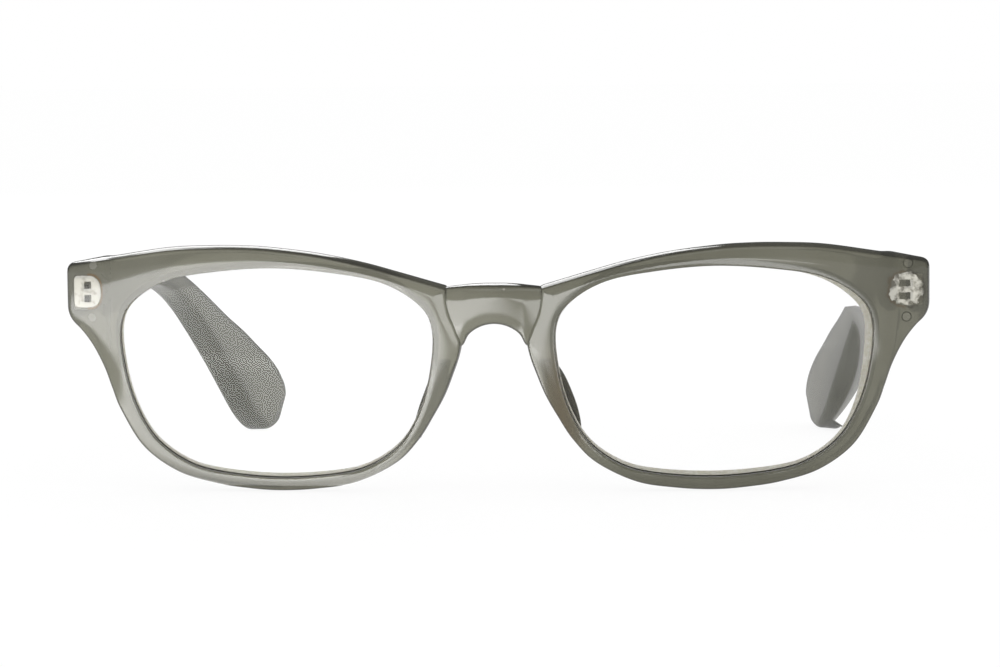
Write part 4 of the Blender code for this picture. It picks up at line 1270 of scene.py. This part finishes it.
def build_camera():
    """The photograph's camera, 0.6 m away, a little above and to the right."""
    data = bpy.data.cameras.new("camera")
    data.sensor_width = CAMERA_SENSOR
    data.lens = CAMERA_LENS
    data.clip_end = CAMERA_REACH
    forward = (CAMERA_TARGET - CAMERA_EYE).normalized()
    right = forward.cross(UPWARD).normalized()
    up = right.cross(forward)
    cosine, sine = math.cos(CAMERA_ROLL), math.sin(CAMERA_ROLL)
    right, up = right * cosine + up * sine, up * cosine - right * sine
    turn = Matrix((right, up, -forward)).transposed().to_4x4()
    camera = add_object("camera", data)
    camera.matrix_world = Matrix.Translation(LENS_PLANE + CAMERA_EYE) @ turn
    bpy.context.scene.camera = camera


def surroundings(graph, dimming):
    """Whether a ray shows the white surroundings, and how bright they are: dimmer in plain reflections."""
    path = graph.node("ShaderNodeLightPath").outputs
    through, glossy = path["Is Transmission Ray"], path["Is Glossy Ray"]
    seen = graph.calc("MAXIMUM", graph.calc("MAXIMUM", path["Is Camera Ray"], glossy), through)
    mirrored_only = graph.product(graph.calc("SUBTRACT", 1.0, through), glossy)
    return seen, graph.calc("ADD", graph.product(mirrored_only, -dimming), 1.0)


def build_floor():
    """White paper, which keeps the object's shadow."""
    shape = bmesh.new()
    bmesh.ops.create_grid(shape, x_segments=1, y_segments=1, size=FLOOR_REACH)
    mesh = bpy.data.meshes.new("floor")
    shape.to_mesh(mesh)
    shape.free()
    floor = add_object("floor", mesh)
    made, graph = new_material("white sweep")
    graph.nodes.remove(graph.nodes["Principled BSDF"])
    seen, strength = surroundings(graph, FLOOR_DIMMING)
    paper = graph.node("ShaderNodeBsdfDiffuse", {"Color": (PAPER_WHITENESS,) * 3})
    glow = graph.node("ShaderNodeEmission", {"Strength": strength})
    inputs = {"Fac": graph.product(seen, FLOOR_GLOW), 1: paper.outputs[0], 2: glow.outputs[0]}
    mix = graph.node("ShaderNodeMixShader", inputs)
    graph.fill(graph.nodes["Material Output"].inputs, {"Surface": mix.outputs[0]})
    floor.data.materials.append(made)


def build_world():
    """A white room."""
    world = bpy.data.worlds.new("studio")
    bpy.context.scene.world = world
    world.use_nodes = True
    graph = Graph(world.node_tree)
    seen, strength = surroundings(graph, ROOM_DIMMING)
    graph.fill(graph.nodes["Background"].inputs, {"Color": (1, 1, 1), "Strength": strength})


def soft_panel(name, centre, towards, width, height, brightness, fade=0.0, lights_up=True, mirrored_in=True):
    """A softbox, which lights up the scene, shows in reflections, or both, and may fade out at its edges."""
    data = bpy.data.lights.new(name, "AREA")
    data.shape = "RECTANGLE"
    data.size, data.size_y = width, height
    data.energy = brightness * math.pi * width * height
    panel = add_object(name, data)
    panel.location = centre
    aim = Vector(towards) - Vector(centre)
    panel.rotation_euler = aim.to_track_quat("-Z", "Y").to_euler()
    panel.visible_camera = False
    panel.visible_transmission = False
    panel.visible_diffuse = lights_up
    panel.visible_glossy = mirrored_in
    if fade:
        data.use_nodes = True
        graph = Graph(data.node_tree)
        across = graph.axes(graph.node("ShaderNodeNewGeometry").outputs["Parametric"])
        fades = []
        for axis, length in (("X", width), ("Y", height)):
            off_middle = graph.calc("ABSOLUTE", graph.calc("SUBTRACT", across[axis], 0.5))
            fades.append(graph.span(off_middle, 0.5 - fade / length, 0.5, 1.0, 0.0))
        graph.fill(graph.nodes["Emission"].inputs, {"Strength": graph.product(*fades)})


def floor_card(name, left, right, far, near, brightness, fade):
    """A white card on the floor in front, which only shows in reflections."""
    centre = Vector(((left + right) / 2, (far + near) / 2, PANEL_RISE))
    soft_panel(name, centre, centre + UPWARD, right - left, near - far, brightness, fade, lights_up=False)


def floor_fill(name, across, width, brightness):
    """A light on the floor in front, which never shows in reflections."""
    centre = Vector((across, FILL_Y, PANEL_RISE))
    soft_panel(name, centre, centre + UPWARD, width, FILL_DEPTH, brightness, mirrored_in=False)


bpy.context.scene.view_settings.view_transform = "Standard"
build_camera()
build_floor()
build_world()
floor_card("left card", left=-0.25, right=0.015, far=-0.66, near=-0.105, brightness=6.0, fade=0.03)
floor_card("near left card", left=-0.092, right=-0.006, far=-0.135, near=-0.057, brightness=6.5, fade=0.014)
floor_fill("left fill", across=-0.07, width=0.18, brightness=1.1)
floor_fill("right fill", across=0.07, width=0.16, brightness=0.5)
floor_card("right card", left=0.012, right=0.103, far=-0.31, near=-0.122, brightness=4.7, fade=0.016)
floor_card("right far card", left=0.012, right=0.178, far=-0.66, near=-0.292, brightness=4.7, fade=0.016)
soft_panel("back softbox", (-0.2137, 0.9255, 0.5565), (0, 0, 0.03), width=0.395, height=0.4, brightness=3.6)
soft_panel("top softbox", (0.1, -0.5, 0.9), (0, 0, 0), width=0.6, height=0.5, brightness=0.8)

clouding_effect()
dust_effect()
root_mark_effect()
round_mark_effect()
front_plastic = smoky_plastic("smoky front plastic", with_marks_and_painted_light=True)
temple_plastic = smoky_plastic("smoky temple plastic", with_marks_and_painted_light=False)
clear, ground, steel = clear_lens(), ground_lens_edge(), plated_steel()
barrels = barrel_stack_tree()
build_front(front_plastic)
for side, word in SIDES:
    build_lens(side, word, clear, ground)
    build_temple(side, word, temple_plastic)
    build_leaf("front", side, word, barrels, steel)
    build_leaf("temple", side, word, barrels, steel)
    build_screw(side, word, steel)
